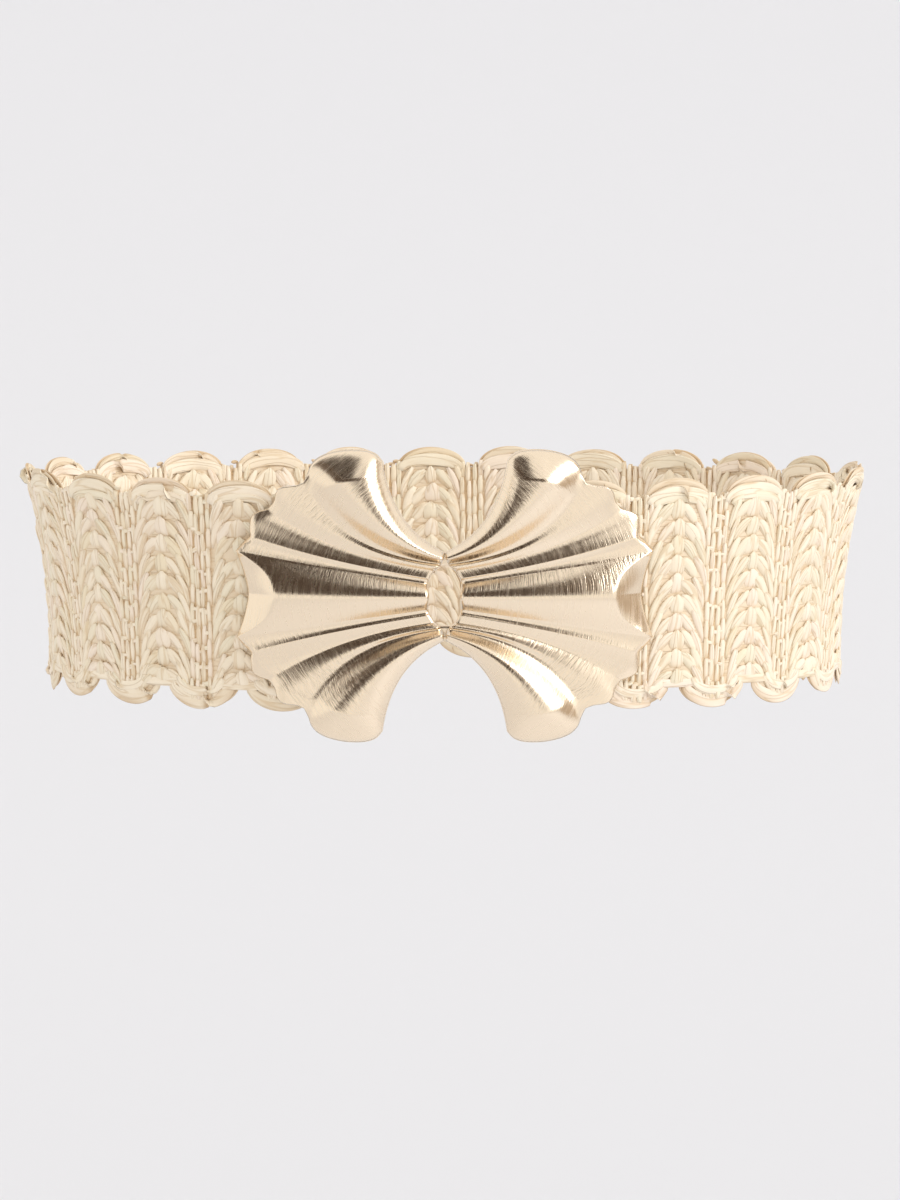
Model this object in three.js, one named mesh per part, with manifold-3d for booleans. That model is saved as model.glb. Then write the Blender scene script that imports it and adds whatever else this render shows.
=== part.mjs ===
// A stretch belt of crocheted raffia, closed in front by two cast shell halves.
// Millimetres, +Z up. The wearer faces -Y. The origin is the middle of the waist at half the band's height.
import * as THREE from 'three';
import { mergeVertices } from 'three/addons/utils/BufferGeometryUtils.js';
import Module from 'manifold-3d';

// Waist: the oval that the inside of the band follows, and how far the band leans out at its two edges
const WAIST_WIDTH = 236;
const WAIST_DEPTH = 168;
const FLARE_TOP = 5.2;
const FLARE_BOTTOM = -1.2;

// Band: its body between the roots of the scallops, its wall, and the relief of fans and rib columns
const BAND_HEIGHT = 55.6;
const BAND_WALL = 2.4;
const FAN_RELIEF = 0.35;
const EDGE_RELIEF = 0.3;
const PITCHES_AROUND = 20;
const FIRST_FAN_RIGHT = 68.4;
const FIRST_FAN_LEFT = 59.6;
const SCALLOP_RISE_TOP = 5.2;
const SCALLOP_RISE_BOTTOM = 6.2;
const SCALLOP_SPAN = 0.72;
const RIB_SPAN = 0.26;
const HEM_LENGTH = 15;

// How the band's cross-section is drawn: shares of its height on the face and the back, how thin the rolled
// edges get, and how soon the edge takes over from the fans and from the full wall
const FACE_SHARES = [0, 0.045, 0.15, 0.5, 0.85, 0.955, 1];
const BACK_SHARES = [1, 0.5, 0];
const EDGE_THINNING = 0.35;
const EDGE_ROLL = 6;
const EDGE_CORNER = 12;
const HEM_STEPS = 3;
const FOLD_STEPS = 6;

// Strap rods, which the ends of the band are folded round
const ROD_PLACE = 24;
const ROD_RADIUS = 1.2;
const ROD_POST_WIDTH = 2.8;
const ROD_POST_HEIGHT = 2.4;
const ROD_SIDES = 14;

// Shell halves: reach from the middle of the buckle, half height, rise of the middle lobe over the rim, wall
const SHELL_REACH = 59.2;
const SHELL_HALF_HEIGHT = 42;
const SHELL_RISE = 7.6;
const SHELL_WALL = 1.6;
const HALVES_GAP = 0.7;

// How many walls the cavity keeps from the sides, the eye and the lip, measured along the lines of the shell
const CAVITY_KEEPS = { sides: 2.2, eye: 1.5, lip: 9 };

// How late the shoulder of a lobe turns from one fold to the next: the higher, the rounder its crescent
const SHOULDER_TURN = 4;

// Catch: a flat link behind the eye, and the hook on each half that holds one of its sides
const LINK_OPENING_WIDTH = 16.8;
const LINK_OPENING_HEIGHT = 17.2;
const LINK_BAR = 4;
const LINK_THICKNESS = 1.6;
const LINK_CORNER = 1.5;
const LINK_CORNER_STEPS = 5;
const HOOK_HEIGHT = 6;
const HOOK_THICKNESS = 1.4;
const HOOK_STEM = 2.2;

// Gap between neighbouring pieces, and how deep a soldered foot goes into the wall that carries it
const GAP = 0.35;
const FOOT_COVER = 0.5;

// The rim of the shells lies just in front of the band's relief
const RIM_LEVEL = BAND_WALL + FAN_RELIEF + EDGE_RELIEF + GAP;

// Places of the cross lines of a shell: from the eye to the shoulder, and round the end to the lip
const STEPS_ALONG = [0, 0.07, 0.18, 0.34, 0.5, 0.66, 0.82, 0.93, 1];
const STEPS_END = [0.25, 0.52, 0.8, 1];

// The outline of a half from the middle of its outer edge to its top, as shares of reach and half height
const OUTLINE = [
  { across: 0.947, up: 0.0 },
  { across: 0.953, up: 0.072 },
  { across: 0.971, up: 0.18 },
  { across: 1.0, up: 0.297 },
  { across: 0.962, up: 0.355 },
  { across: 0.924, up: 0.401 },
  { across: 0.927, up: 0.464 },
  { across: 0.917, up: 0.534 },
  { across: 0.886, up: 0.564 },
  { across: 0.837, up: 0.585 },
  { across: 0.804, up: 0.64 },
  { across: 0.79, up: 0.701 },
  { across: 0.76, up: 0.738 },
  { across: 0.698, up: 0.75 },
  { across: 0.657, up: 0.77 },
  { across: 0.638, up: 0.831 },
  { across: 0.623, up: 0.896 },
  { across: 0.587, up: 0.947 },
  { across: 0.53, up: 0.98 },
  { across: 0.457, up: 0.998 },
  { across: 0.378, up: 0.996 },
  { across: 0.325, up: 0.972 },
  { across: 0.294, up: 0.925 },
];

// Lobes and grooves: which outline point each runs out to, where it starts at the eye and where it bends, as
// shares of the reach and the half height, its height as a share of the rise, at the eye and at its shoulder,
// the share of its length at the shoulder, the height that is left at the outline, and whether the face runs
// level into it from the inner side and out of it on the outer side
const FOLDS = [
  { point: 0, root: [0.075, 0], bend: [0.5, 0],
    start: 0.62, top: 1.0, shoulder: 0.845, lip: 0.26, level: [1, 1] },
  { point: 3, root: [0.088, 0.088], bend: [0.54, 0.19],
    start: 0.3, top: 0.54, shoulder: 0.985, lip: 0.3, level: [0, 0] },
  { point: 4, root: [0.087, 0.106], bend: [0.53, 0.208],
    start: 0.26, top: 0.44, shoulder: 0.98, lip: 0.28, level: [1, 1] },
  { point: 5, root: [0.086, 0.126], bend: [0.52, 0.228],
    start: 0.36, top: 0.6, shoulder: 0.97, lip: 0.34, level: [0, 0] },
  { point: 9, root: [0.076, 0.178], bend: [0.49, 0.265],
    start: 0.3, top: 0.42, shoulder: 0.95, lip: 0.28, level: [1, 0] },
  { point: 12, root: [0.062, 0.206], bend: [0.485, 0.286],
    start: 0.42, top: 0.53, shoulder: 0.93, lip: 0.3, level: [1, 1] },
  { point: 14, root: [0.05, 0.224], bend: [0.48, 0.3],
    start: 0.3, top: 0.5, shoulder: 0.94, lip: 0.28, level: [0, 0] },
  { point: 18, root: [0.03, 0.262], bend: [0.385, 0.41],
    start: 0.66, top: 1.28, shoulder: 0.78, lip: 0.24, level: [1, 1] },
  { point: 22, root: [0.0, 0.3], bend: [0.25, 0.47],
    start: 0.3, top: 0.3, shoulder: 0.9, lip: 0.2, level: [0, 0] },
];

const wasm = await Module();
wasm.setup();

const mix = (a, b, t) => a + (b - a) * t;
const mixPair = (p, q, t) => [mix(p[0], q[0], t), mix(p[1], q[1], t)];

// The oval of the waist, from the middle of the front towards +X and round the back
const waist = new THREE.EllipseCurve(
  0, 0, WAIST_WIDTH / 2, WAIST_DEPTH / 2, -Math.PI / 2, 1.5 * Math.PI, false);
waist.arcLengthDivisions = 1440;
const WAIST_LENGTH = waist.getLength();

// How far the band leans out at a height: straight and curved part through its two edges
function flare(z) {
  const t = z / (BAND_HEIGHT / 2);
  return t * (FLARE_TOP - FLARE_BOTTOM) / 2 + t * t * (FLARE_TOP + FLARE_BOTTOM) / 2;
}

// The point at a length along the waist, a distance out from it and a height
function place(along, out, z) {
  const share = ((along / WAIST_LENGTH) % 1 + 1) % 1;
  const point = waist.getPointAt(share);
  const tangent = waist.getTangentAt(share);
  const normal = new THREE.Vector2(tangent.y, -tangent.x);
  const lean = flare(z) * normal.x * normal.x;
  return new THREE.Vector3(point.x + normal.x * (out + lean), point.y + normal.y * (out + lean), z);
}

// Solid of a closed geometry, and geometry of a solid
function solidOf(geometry) {
  const bare = geometry.clone();
  bare.deleteAttribute('normal');
  bare.deleteAttribute('uv');
  const merged = mergeVertices(bare, 1e-4);
  return new wasm.Manifold(new wasm.Mesh({
    numProp: 3,
    vertProperties: Float32Array.from(merged.attributes.position.array),
    triVerts: Uint32Array.from(merged.index.array),
  }));
}

function geometryOf(solid) {
  const mesh = solid.getMesh();
  const geometry = new THREE.BufferGeometry();
  geometry.setAttribute('position', new THREE.BufferAttribute(Float32Array.from(mesh.vertProperties), 3));
  geometry.setIndex(new THREE.BufferAttribute(Uint32Array.from(mesh.triVerts), 1));
  geometry.computeVertexNormals();
  return geometry;
}

// A builder of closed skins from rows of points
function skin() {
  const positions = [];
  const triangles = [];
  return {
    add(point) {
      positions.push(point.x, point.y, point.z);
      return positions.length / 3 - 1;
    },
    triangle(a, b, c) {
      triangles.push(a, b, c);
    },
    quad(a, b, c, d) {
      triangles.push(a, b, c, a, c, d);
    },
    strip(first, second, closed) {
      const count = closed ? first.length : first.length - 1;
      for (let i = 0; i < count; i++) {
        const next = (i + 1) % first.length;
        this.quad(first[i], first[next], second[next], second[i]);
      }
    },
    geometry() {
      const made = new THREE.BufferGeometry();
      made.setAttribute('position', new THREE.Float32BufferAttribute(positions, 3));
      made.setIndex(triangles);
      return made;
    },
  };
}

// Scallop pitch that closes the loop between the first fan on the right and the first on the left
const PITCH = (WAIST_LENGTH - FIRST_FAN_RIGHT - FIRST_FAN_LEFT) / PITCHES_AROUND;

// Distance to the middle of the nearest fan, as a share of the pitch: 0 at a fan, 0.5 at a rib column
function fromFan(along) {
  const turns = (along - FIRST_FAN_RIGHT) / PITCH;
  return Math.abs(turns - Math.round(turns));
}

// A round scallop over half its span, and nothing beside it
function scallop(distance, rise) {
  const t = distance / (SCALLOP_SPAN / 2);
  return t < 1 ? rise * Math.sqrt(1 - t * t) : 0;
}

const bandTop = (along) => BAND_HEIGHT / 2 + scallop(fromFan(along), SCALLOP_RISE_TOP);
const bandBottom = (along) => -BAND_HEIGHT / 2 - scallop(0.5 - fromFan(along), SCALLOP_RISE_BOTTOM);

// Furthest reach of the band from its middle height
const BAND_REACH = BAND_HEIGHT / 2 + Math.max(SCALLOP_RISE_TOP, SCALLOP_RISE_BOTTOM);

// Relief of the band's face: fans stand out, rib columns lie back, and both edges are rolled
function relief(along, share) {
  const rib = Math.min(1, Math.max(0, (0.5 - fromFan(along)) / (RIB_SPAN / 2)));
  const fan = FAN_RELIEF * (1 - 2 * Math.cos(rib * Math.PI / 2) ** 2);
  const edge = Math.abs(2 * share - 1);
  return mix(fan, EDGE_RELIEF, edge ** EDGE_ROLL);
}

// The middle line of the band seen from above, as length along the waist and distance out from it:
// hem, fold round the rod, the long way round the back, fold, hem. Each point knows which way is outwards.
function bandLine() {
  const level = BAND_WALL / 2;
  const rodOut = -GAP - ROD_RADIUS;
  const fold = level - rodOut;
  const start = ROD_PLACE;
  const end = WAIST_LENGTH - ROD_PLACE;
  const line = [];
  for (let i = 0; i < HEM_STEPS; i++) {
    line.push({ along: start + HEM_LENGTH * (1 - i / HEM_STEPS), out: rodOut - fold, facing: [0, -1] });
  }
  for (let i = 0; i <= FOLD_STEPS; i++) {
    const angle = -Math.PI / 2 - Math.PI * i / FOLD_STEPS;
    const facing = [Math.cos(angle), Math.sin(angle)];
    line.push({ along: start + fold * facing[0], out: rodOut + fold * facing[1], facing });
  }
  // Stations stand closer where a scallop starts than over a fan or a rib column
  const steps = [-0.5, -0.4, -0.36, -0.27, -0.14, 0, 0.14, 0.27, 0.36, 0.4];
  const first = Math.floor((start - FIRST_FAN_RIGHT) / PITCH) - 1;
  const last = Math.ceil((end - FIRST_FAN_RIGHT) / PITCH) + 1;
  for (let fan = first; fan <= last; fan++) {
    for (const step of steps) {
      const along = FIRST_FAN_RIGHT + (fan + step) * PITCH;
      if (along > start + GAP && along < end - GAP) {
        line.push({ along, out: level, facing: [0, 1], main: true });
      }
    }
  }
  const mirrored = line.filter((point) => !point.main).reverse();
  for (const { along, out, facing } of mirrored) {
    line.push({ along: WAIST_LENGTH - along, out, facing: [-facing[0], facing[1]] });
  }
  return line;
}

// The raffia band: a face with relief, a plain back, closed along both edges and at both ends
function raffiaBand() {
  const made = skin();
  const rows = bandLine().map(({ along, out, facing, main }) => {
    const low = bandBottom(along);
    const high = bandTop(along);
    const at = (share, offset) => place(
      along + facing[0] * offset, out + facing[1] * offset, mix(low, high, share));
    const face = FACE_SHARES.map((share) => {
      const rounded = Math.sqrt(1 - Math.abs(2 * share - 1) ** EDGE_CORNER);
      const half = BAND_WALL / 2 * mix(EDGE_THINNING, 1, rounded);
      return made.add(at(share, half + (main ? relief(along, share) : 0)));
    });
    const back = BACK_SHARES.map((share) => made.add(at(share, -BAND_WALL / 2)));
    return [...face, ...back];
  });
  for (let i = 0; i + 1 < rows.length; i++) {
    made.strip(rows[i + 1], rows[i], true);
  }
  for (const [row, turned] of [[rows[0], true], [rows[rows.length - 1], false]]) {
    closeEnd(made, row, turned);
  }
  return made.geometry();
}

// Flat end of the band: a fan of triangles between its face and its back
function closeEnd(made, row, turned) {
  const faceCount = FACE_SHARES.length;
  const face = row.slice(0, faceCount);
  const back = row.slice(faceCount).reverse();
  const middle = (faceCount - 1) / 2;
  for (let i = 0; i + 1 < faceCount; i++) {
    const anchor = back[i < middle ? 0 : 2];
    const corners = [face[i], face[i + 1], anchor];
    made.triangle(...(turned ? corners : corners.reverse()));
  }
  for (const corners of [[face[middle], back[1], back[0]], [face[middle], back[2], back[1]]]) {
    made.triangle(...(turned ? corners : corners.reverse()));
  }
}

// The fold values on a line of the shell, between the two folds of the table beside it.
// A line is a place on the outline: 0 in the middle, the last point at the top.
function foldAt(line) {
  const after = FOLDS.findIndex((fold) => fold.point >= line - 1e-9);
  const b = FOLDS[Math.max(after, 1)];
  const a = FOLDS[Math.max(after, 1) - 1];
  const t = (line - a.point) / (b.point - a.point);
  // The rise is half a cosine wave between two folds that are level there, a quarter where only one is
  const [leavesLevel, endsLevel] = [a.level[1], b.level[0]];
  const quarter = leavesLevel ? 1 - Math.cos(t * Math.PI / 2) : Math.sin(t * Math.PI / 2);
  const half = (1 - Math.cos(t * Math.PI)) / 2;
  const rise = leavesLevel && endsLevel ? half : leavesLevel || endsLevel ? quarter : t;
  const turn = a.shoulder < b.shoulder ? t ** SHOULDER_TURN : 1 - (1 - t) ** SHOULDER_TURN;
  return {
    root: mixPair(a.root, b.root, t),
    bend: mixPair(a.bend, b.bend, t),
    start: mix(a.start, b.start, rise),
    top: mix(a.top, b.top, rise),
    shoulder: mix(a.shoulder, b.shoulder, turn),
    lip: mix(a.lip, b.lip, t),
  };
}

// The shell's outer face at a line and a step along it: reach, height and level over the rim
function shellPoint(line, along) {
  const up = Math.abs(line);
  const low = Math.min(Math.floor(up), OUTLINE.length - 2);
  const tip = mixPair(
    [OUTLINE[low].across, OUTLINE[low].up], [OUTLINE[low + 1].across, OUTLINE[low + 1].up], up - low);
  const fold = foldAt(up);
  const t = along <= 1 ? along * fold.shoulder : mix(fold.shoulder, 1, along - 1);
  const plan = [0, 1].map((k) =>
    (1 - t) ** 2 * fold.root[k] + 2 * t * (1 - t) * fold.bend[k] + t ** 2 * tip[k]);
  const before = mix(fold.start, fold.top, Math.sin(Math.min(along, 1) * Math.PI / 2));
  const level = along <= 1 ? before : mix(fold.top, fold.lip, 1 - Math.sqrt(1 - (along - 1) ** 2));
  return {
    reach: HALVES_GAP / 2 + plan[0] * (SHELL_REACH - HALVES_GAP / 2),
    height: Math.sign(line) * plan[1] * SHELL_HALF_HEIGHT,
    level: level * SHELL_RISE,
  };
}

// The cast shell of one half, hollow at the back, for the side +1 or -1
function shellSkin(side) {
  const made = skin();
  const top = OUTLINE.length - 1;
  const steps = [...STEPS_ALONG, ...STEPS_END.map((step) => 1 + step)];
  const lines = [];
  for (let line = -top; line <= top; line++) {
    lines.push(line);
  }
  const at = ({ reach, height }, level) => place(side * reach, RIM_LEVEL + level, height);
  const outer = lines.map((line) => steps.map((step) => {
    const point = shellPoint(line, step);
    return { face: made.add(at(point, point.level)), rim: at(point, 0) };
  }));
  // The cavity follows the outer face one wall further in
  const inset = SHELL_WALL / SHELL_REACH;
  const inner = lines.map((line) => steps.map((step) => {
    const nearLine = line * (1 - CAVITY_KEEPS.sides * inset);
    const nearStep = step <= 1
      ? mix(CAVITY_KEEPS.eye * inset, 1, step)
      : mix(1, 2 - CAVITY_KEEPS.lip * inset, step - 1);
    const point = shellPoint(nearLine, nearStep);
    const level = Math.max(point.level - SHELL_WALL, GAP);
    return { face: made.add(at(point, level)), rim: at(point, 0) };
  }));
  const lastLine = lines.length - 1;
  const lastStep = steps.length - 1;
  for (let i = 0; i < lastLine; i++) {
    for (let j = 0; j < lastStep; j++) {
      made.quad(outer[i][j].face, outer[i][j + 1].face, outer[i + 1][j + 1].face, outer[i + 1][j].face);
      made.quad(inner[i][j].face, inner[i + 1][j].face, inner[i + 1][j + 1].face, inner[i][j + 1].face);
    }
  }
  const border = [];
  for (let i = 0; i <= lastLine; i++) border.push([i, 0]);
  for (let j = 1; j <= lastStep; j++) border.push([lastLine, j]);
  for (let i = lastLine - 1; i >= 0; i--) border.push([i, lastStep]);
  for (let j = lastStep - 1; j >= 1; j--) border.push([0, j]);
  const loop = (grid, key) => border.map(([i, j]) => (
    key === 'face' ? grid[i][j].face : made.add(grid[i][j].rim)));
  const outerRim = loop(outer, 'rim');
  const innerRim = loop(inner, 'rim');
  made.strip(loop(outer, 'face'), outerRim, true);
  made.strip(outerRim, innerRim, true);
  made.strip(innerRim, loop(inner, 'face'), true);
  const geometry = made.geometry();
  if (side < 0) {
    geometry.index.array.reverse();
  }
  return geometry;
}

// The level of the shell's outer face over a place, found on the nearest point of a fine net of the face
function shellLevel(reach, height) {
  const top = OUTLINE.length - 1;
  let best = { distance: Infinity, level: 0 };
  for (let line = 0; line <= top; line += 0.25) {
    for (let step = 0; step <= 2; step += 0.02) {
      const point = shellPoint(line, step);
      const distance = Math.hypot(point.reach - reach, point.height - Math.abs(height));
      if (distance < best.distance) {
        best = { distance, level: point.level };
      }
    }
  }
  return best.level;
}

// How far out a foot may reach under the shell: covered by the outer face over its whole footprint
function footTop(reach, height, width, depth) {
  const levels = [-1, 0, 1].flatMap((a) => [-1, 0, 1].map(
    (b) => shellLevel(reach + a * width / 2, height + b * depth / 2)));
  return RIM_LEVEL + Math.min(...levels) - FOOT_COVER;
}

// A straight block between two reaches, two distances out from the waist and two heights
function block(reachFrom, reachTo, outFrom, outTo, heightFrom, heightTo) {
  const geometry = new THREE.BoxGeometry(reachTo - reachFrom, outTo - outFrom, heightTo - heightFrom);
  geometry.translate(
    (reachFrom + reachTo) / 2, -WAIST_DEPTH / 2 - (outFrom + outTo) / 2, (heightFrom + heightTo) / 2);
  return geometry;
}

// How far out from the middle of the waist's front a point lies
const outAtFront = (point) => -point.y - WAIST_DEPTH / 2;

// Levels and places of the catch, shared by the link and the hooks. The flat link keeps clear of the rims,
// which curve back with the waist.
const LINK_INNER = LINK_OPENING_WIDTH / 2;
const LINK_OUTER = LINK_INNER + LINK_BAR;
const LINK_FRONT = outAtFront(place(LINK_OUTER, RIM_LEVEL, 0)) - GAP;
const LINK_BACK = LINK_FRONT - LINK_THICKNESS;
const HOOK_FRONT = LINK_BACK - GAP;
const HOOK_BACK = HOOK_FRONT - HOOK_THICKNESS;

// The hook of the half at +X: a stem soldered under the middle lobe, a tongue behind the link and a lip
function hookBlocks() {
  const half = HOOK_HEIGHT / 2;
  const stemFrom = LINK_OUTER + GAP;
  const stemTo = stemFrom + HOOK_STEM;
  const lipTo = LINK_INNER - GAP;
  const lipFrom = lipTo - HOOK_THICKNESS;
  const stemTop = footTop((stemFrom + stemTo) / 2, 0, HOOK_STEM, HOOK_HEIGHT);
  return [
    block(stemFrom, stemTo, HOOK_BACK, stemTop, -half, half),
    block(lipFrom, stemTo, HOOK_BACK, HOOK_FRONT, -half, half),
    block(lipFrom, lipTo, HOOK_BACK, LINK_FRONT - GAP, -half, half),
  ];
}

// The strap rod of the half at +X with a post at each end, soldered under the upper and lower lobe
function rodSolids() {
  const middle = place(ROD_PLACE, -GAP - ROD_RADIUS, 0);
  const clear = BAND_REACH + GAP + ROD_POST_HEIGHT / 2;
  const rod = new THREE.CylinderGeometry(ROD_RADIUS, ROD_RADIUS, 2 * clear, ROD_SIDES);
  rod.rotateX(Math.PI / 2);
  rod.translate(middle.x, middle.y, 0);
  const level = footTop(ROD_PLACE, clear, ROD_POST_WIDTH, ROD_POST_HEIGHT);
  const topOut = outAtFront(place(ROD_PLACE, level, 0));
  const posts = [-1, 1].map((sign) => block(
    middle.x - ROD_POST_WIDTH / 2, middle.x + ROD_POST_WIDTH / 2, outAtFront(middle) - ROD_RADIUS, topOut,
    sign * clear - ROD_POST_HEIGHT / 2, sign * clear + ROD_POST_HEIGHT / 2));
  return [rod, ...posts];
}

function buckleHalf(side) {
  const fittings = [...hookBlocks(), ...rodSolids()].map((geometry) => {
    const solid = solidOf(geometry);
    return side > 0 ? solid : solid.mirror([1, 0, 0]);
  });
  const shell = solidOf(shellSkin(side));
  return geometryOf(fittings.reduce((joined, fitting) => joined.add(fitting), shell));
}

// The link: a flat ring with round corners
function catchLoop() {
  const opening = [LINK_OPENING_WIDTH, LINK_OPENING_HEIGHT];
  const outer = opening.map((size) => size + 2 * LINK_BAR);
  const outline = roundedRectangle(new THREE.Shape(), ...outer, LINK_CORNER + LINK_BAR / 2);
  outline.holes.push(roundedRectangle(new THREE.Path(), ...opening, LINK_CORNER));
  const geometry = new THREE.ExtrudeGeometry(
    outline, { depth: LINK_THICKNESS, bevelEnabled: false, curveSegments: LINK_CORNER_STEPS });
  geometry.rotateX(Math.PI / 2);
  geometry.translate(0, -WAIST_DEPTH / 2 - LINK_BACK, 0);
  return geometry;
}

function roundedRectangle(path, width, height, radius) {
  const x = width / 2;
  const y = height / 2;
  path.moveTo(-x + radius, -y);
  path.lineTo(x - radius, -y);
  path.absarc(x - radius, -y + radius, radius, -Math.PI / 2, 0, false);
  path.lineTo(x, y - radius);
  path.absarc(x - radius, y - radius, radius, 0, Math.PI / 2, false);
  path.lineTo(-x + radius, y);
  path.absarc(-x + radius, y - radius, radius, Math.PI / 2, Math.PI, false);
  path.lineTo(-x, -y + radius);
  path.absarc(-x + radius, -y + radius, radius, Math.PI, 1.5 * Math.PI, false);
  return path;
}

const raffia = new THREE.MeshStandardMaterial({ color: 0xead7b4, roughness: 0.75, metalness: 0 });
const gold = new THREE.MeshStandardMaterial({ color: 0xe6c894, roughness: 0.28, metalness: 1 });

function named(name, geometry, material) {
  const mesh = new THREE.Mesh(geometry, material);
  mesh.name = name;
  return mesh;
}

const belt = new THREE.Group();
belt.add(named('raffia_band', raffiaBand(), raffia));
belt.add(named('buckle_left', buckleHalf(-1), gold));
belt.add(named('buckle_right', buckleHalf(1), gold));
belt.add(named('catch_loop', catchLoop(), gold));

export default belt;
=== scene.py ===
"""Looks of a closed stretch belt: crocheted raffia with scalloped edges and a shell clasp in brushed gold.

Shapes are worked out in millimetres in the band's own coordinates: along the waist from the middle of the
front towards +X, out from the waist, and height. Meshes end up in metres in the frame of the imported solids.
"""

import logging
import math
from dataclasses import dataclass, field
from enum import Enum

import bpy
import numpy as np
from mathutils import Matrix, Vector

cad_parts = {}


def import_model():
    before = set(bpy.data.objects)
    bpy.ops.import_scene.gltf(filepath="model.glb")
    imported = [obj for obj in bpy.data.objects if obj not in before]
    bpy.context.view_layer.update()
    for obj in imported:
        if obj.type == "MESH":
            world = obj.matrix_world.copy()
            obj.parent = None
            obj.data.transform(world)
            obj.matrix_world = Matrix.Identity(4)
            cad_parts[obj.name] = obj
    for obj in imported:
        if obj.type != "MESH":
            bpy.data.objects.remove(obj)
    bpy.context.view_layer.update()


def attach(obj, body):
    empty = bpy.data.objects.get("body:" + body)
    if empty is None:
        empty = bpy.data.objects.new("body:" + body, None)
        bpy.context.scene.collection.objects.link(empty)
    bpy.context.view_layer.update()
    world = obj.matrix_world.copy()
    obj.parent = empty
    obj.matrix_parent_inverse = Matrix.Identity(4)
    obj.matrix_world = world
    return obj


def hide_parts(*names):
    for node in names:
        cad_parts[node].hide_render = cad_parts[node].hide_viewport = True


MM = 0.001
SWELL_SPAN = 0.92
VALUES = ("pattern", "tone")
log = logging.getLogger("belt")


class Side(Enum):
    """The two halves of the clasp, as the sign of their X."""

    LEFT = -1
    RIGHT = 1


class Face(Enum):
    """The two faces of the band, as the direction in which their stitches stand out."""

    OUTER = 1
    INNER = -1


def linear(hex_colour: str) -> tuple[float, float, float, float]:
    """Turns an sRGB hex colour into a linear one.

    Args:
        hex_colour: six hex digits.

    Returns:
        Red, green, blue and alpha, linear.
    """
    shares = [int(hex_colour[i : i + 2], 16) / 255 for i in (0, 2, 4)]
    red, green, blue = (s / 12.92 if s <= 0.04045 else ((s + 0.055) / 1.055) ** 2.4 for s in shares)
    return red, green, blue, 1.0


def add_node(
    tree: bpy.types.NodeTree, kind: str, inputs: dict | None = None, stops: dict | None = None,
    **settings: object,
) -> bpy.types.Node:
    """Adds a node with its settings and links.

    Args:
        tree: the node tree it goes into.
        kind: the node's type name.
        inputs: value or output socket for each input, by its name or number.
        stops: colour for each place of a colour ramp, in rising order.
        settings: properties of the node.

    Returns:
        The new node.
    """
    node = tree.nodes.new(kind)
    for name, value in settings.items():
        setattr(node, name, value)
    for key, value in (inputs or {}).items():
        if isinstance(value, bpy.types.NodeSocket):
            tree.links.new(value, node.inputs[key])
        else:
            node.inputs[key].default_value = value
    if stops:
        elements = node.color_ramp.elements
        elements[-1].position = max(stops)
        elements[0].position = min(stops)
        for place in list(stops)[1:-1]:
            elements.new(place)
        for element, colour in zip(elements, stops.values(), strict=True):
            element.color = colour
    return node


def new_material(name: str) -> tuple[bpy.types.Material, bpy.types.NodeTree]:
    """A new material and its node tree, which is still empty."""
    made = bpy.data.materials.new(name)
    made.use_nodes = True
    made.node_tree.nodes.clear()
    return made, made.node_tree


def read_values(tree: bpy.types.NodeTree) -> tuple[bpy.types.NodeSocket, bpy.types.Node]:
    """Reads what a skin carries: its pattern as a vector, and its tone as a node with three outputs."""
    kind = "ShaderNodeAttribute"
    pattern, tone = (add_node(tree, kind, attribute_name=name).outputs["Vector"] for name in VALUES)
    return pattern, add_node(tree, "ShaderNodeSeparateXYZ", {0: tone})


def streaks(
    tree: bpy.types.NodeTree, place: bpy.types.NodeSocket, sizes: tuple[float, float], detail: float
) -> bpy.types.NodeSocket:
    """Adds noise that is stretched along one direction of a pattern.

    Args:
        tree: the node tree it goes into.
        place: the pattern's place, in millimetres.
        sizes: size of a streak along the pattern's first and second direction, in millimetres.
        detail: how many finer noises lie on it.

    Returns:
        The noise.
    """
    scale = (1 / sizes[0], 1 / sizes[1], 1.0)
    mapped = add_node(tree, "ShaderNodeMapping", {"Vector": place, "Scale": scale})
    noise = {"Vector": mapped.outputs[0], "Scale": 1.0, "Detail": detail}
    return add_node(tree, "ShaderNodeTexNoise", noise).outputs[0]


def tinted(
    tree: bpy.types.NodeTree, colour: bpy.types.NodeSocket, share: bpy.types.NodeSocket, hex_colour: str
) -> bpy.types.NodeSocket:
    """The colour that lies a share of the way from a colour to a hex one."""
    mix = {0: share, 6: colour, 7: linear(hex_colour)}
    return add_node(tree, "ShaderNodeMix", mix, data_type="RGBA").outputs[2]


def mixed(a: np.ndarray, b: np.ndarray, share: np.ndarray) -> np.ndarray:
    """The value that lies a share of the way from a to b."""
    return a + (b - a) * share


def eased(x: np.ndarray) -> np.ndarray:
    """A smooth step from 0 to 1 over the range 0 to 1."""
    x = np.clip(x, 0, 1)
    return x * x * (3 - 2 * x)


def powered(x: np.ndarray, power: float) -> np.ndarray:
    """A power of the size of x, with the sign of x: it turns a circle's sine into a rounded square's."""
    return np.sign(x) * np.abs(x) ** power


def swollen(run: np.ndarray, start: float, power: float) -> np.ndarray:
    """A power of half a sine wave that starts a little way in and is cut short, so that no end is sharp."""
    return np.sin(math.pi * np.clip(run * SWELL_SPAN + start, 0, 1)) ** power


def unit(vectors: np.ndarray) -> np.ndarray:
    """The vectors on the last axis, at length 1."""
    return vectors / np.maximum(np.linalg.norm(vectors, axis=-1, keepdims=True), 1e-9)


def lengths_along(points: np.ndarray, axis: int) -> np.ndarray:
    """Length walked along an axis of points, 0 at its start, with their X, Y and Z on the last axis."""
    steps = np.linalg.norm(np.diff(points, axis=axis), axis=-1)
    walked = np.cumsum(steps, axis=axis)
    return np.concatenate([np.zeros_like(np.take(walked, [0], axis=axis)), walked], axis=axis)


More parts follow.
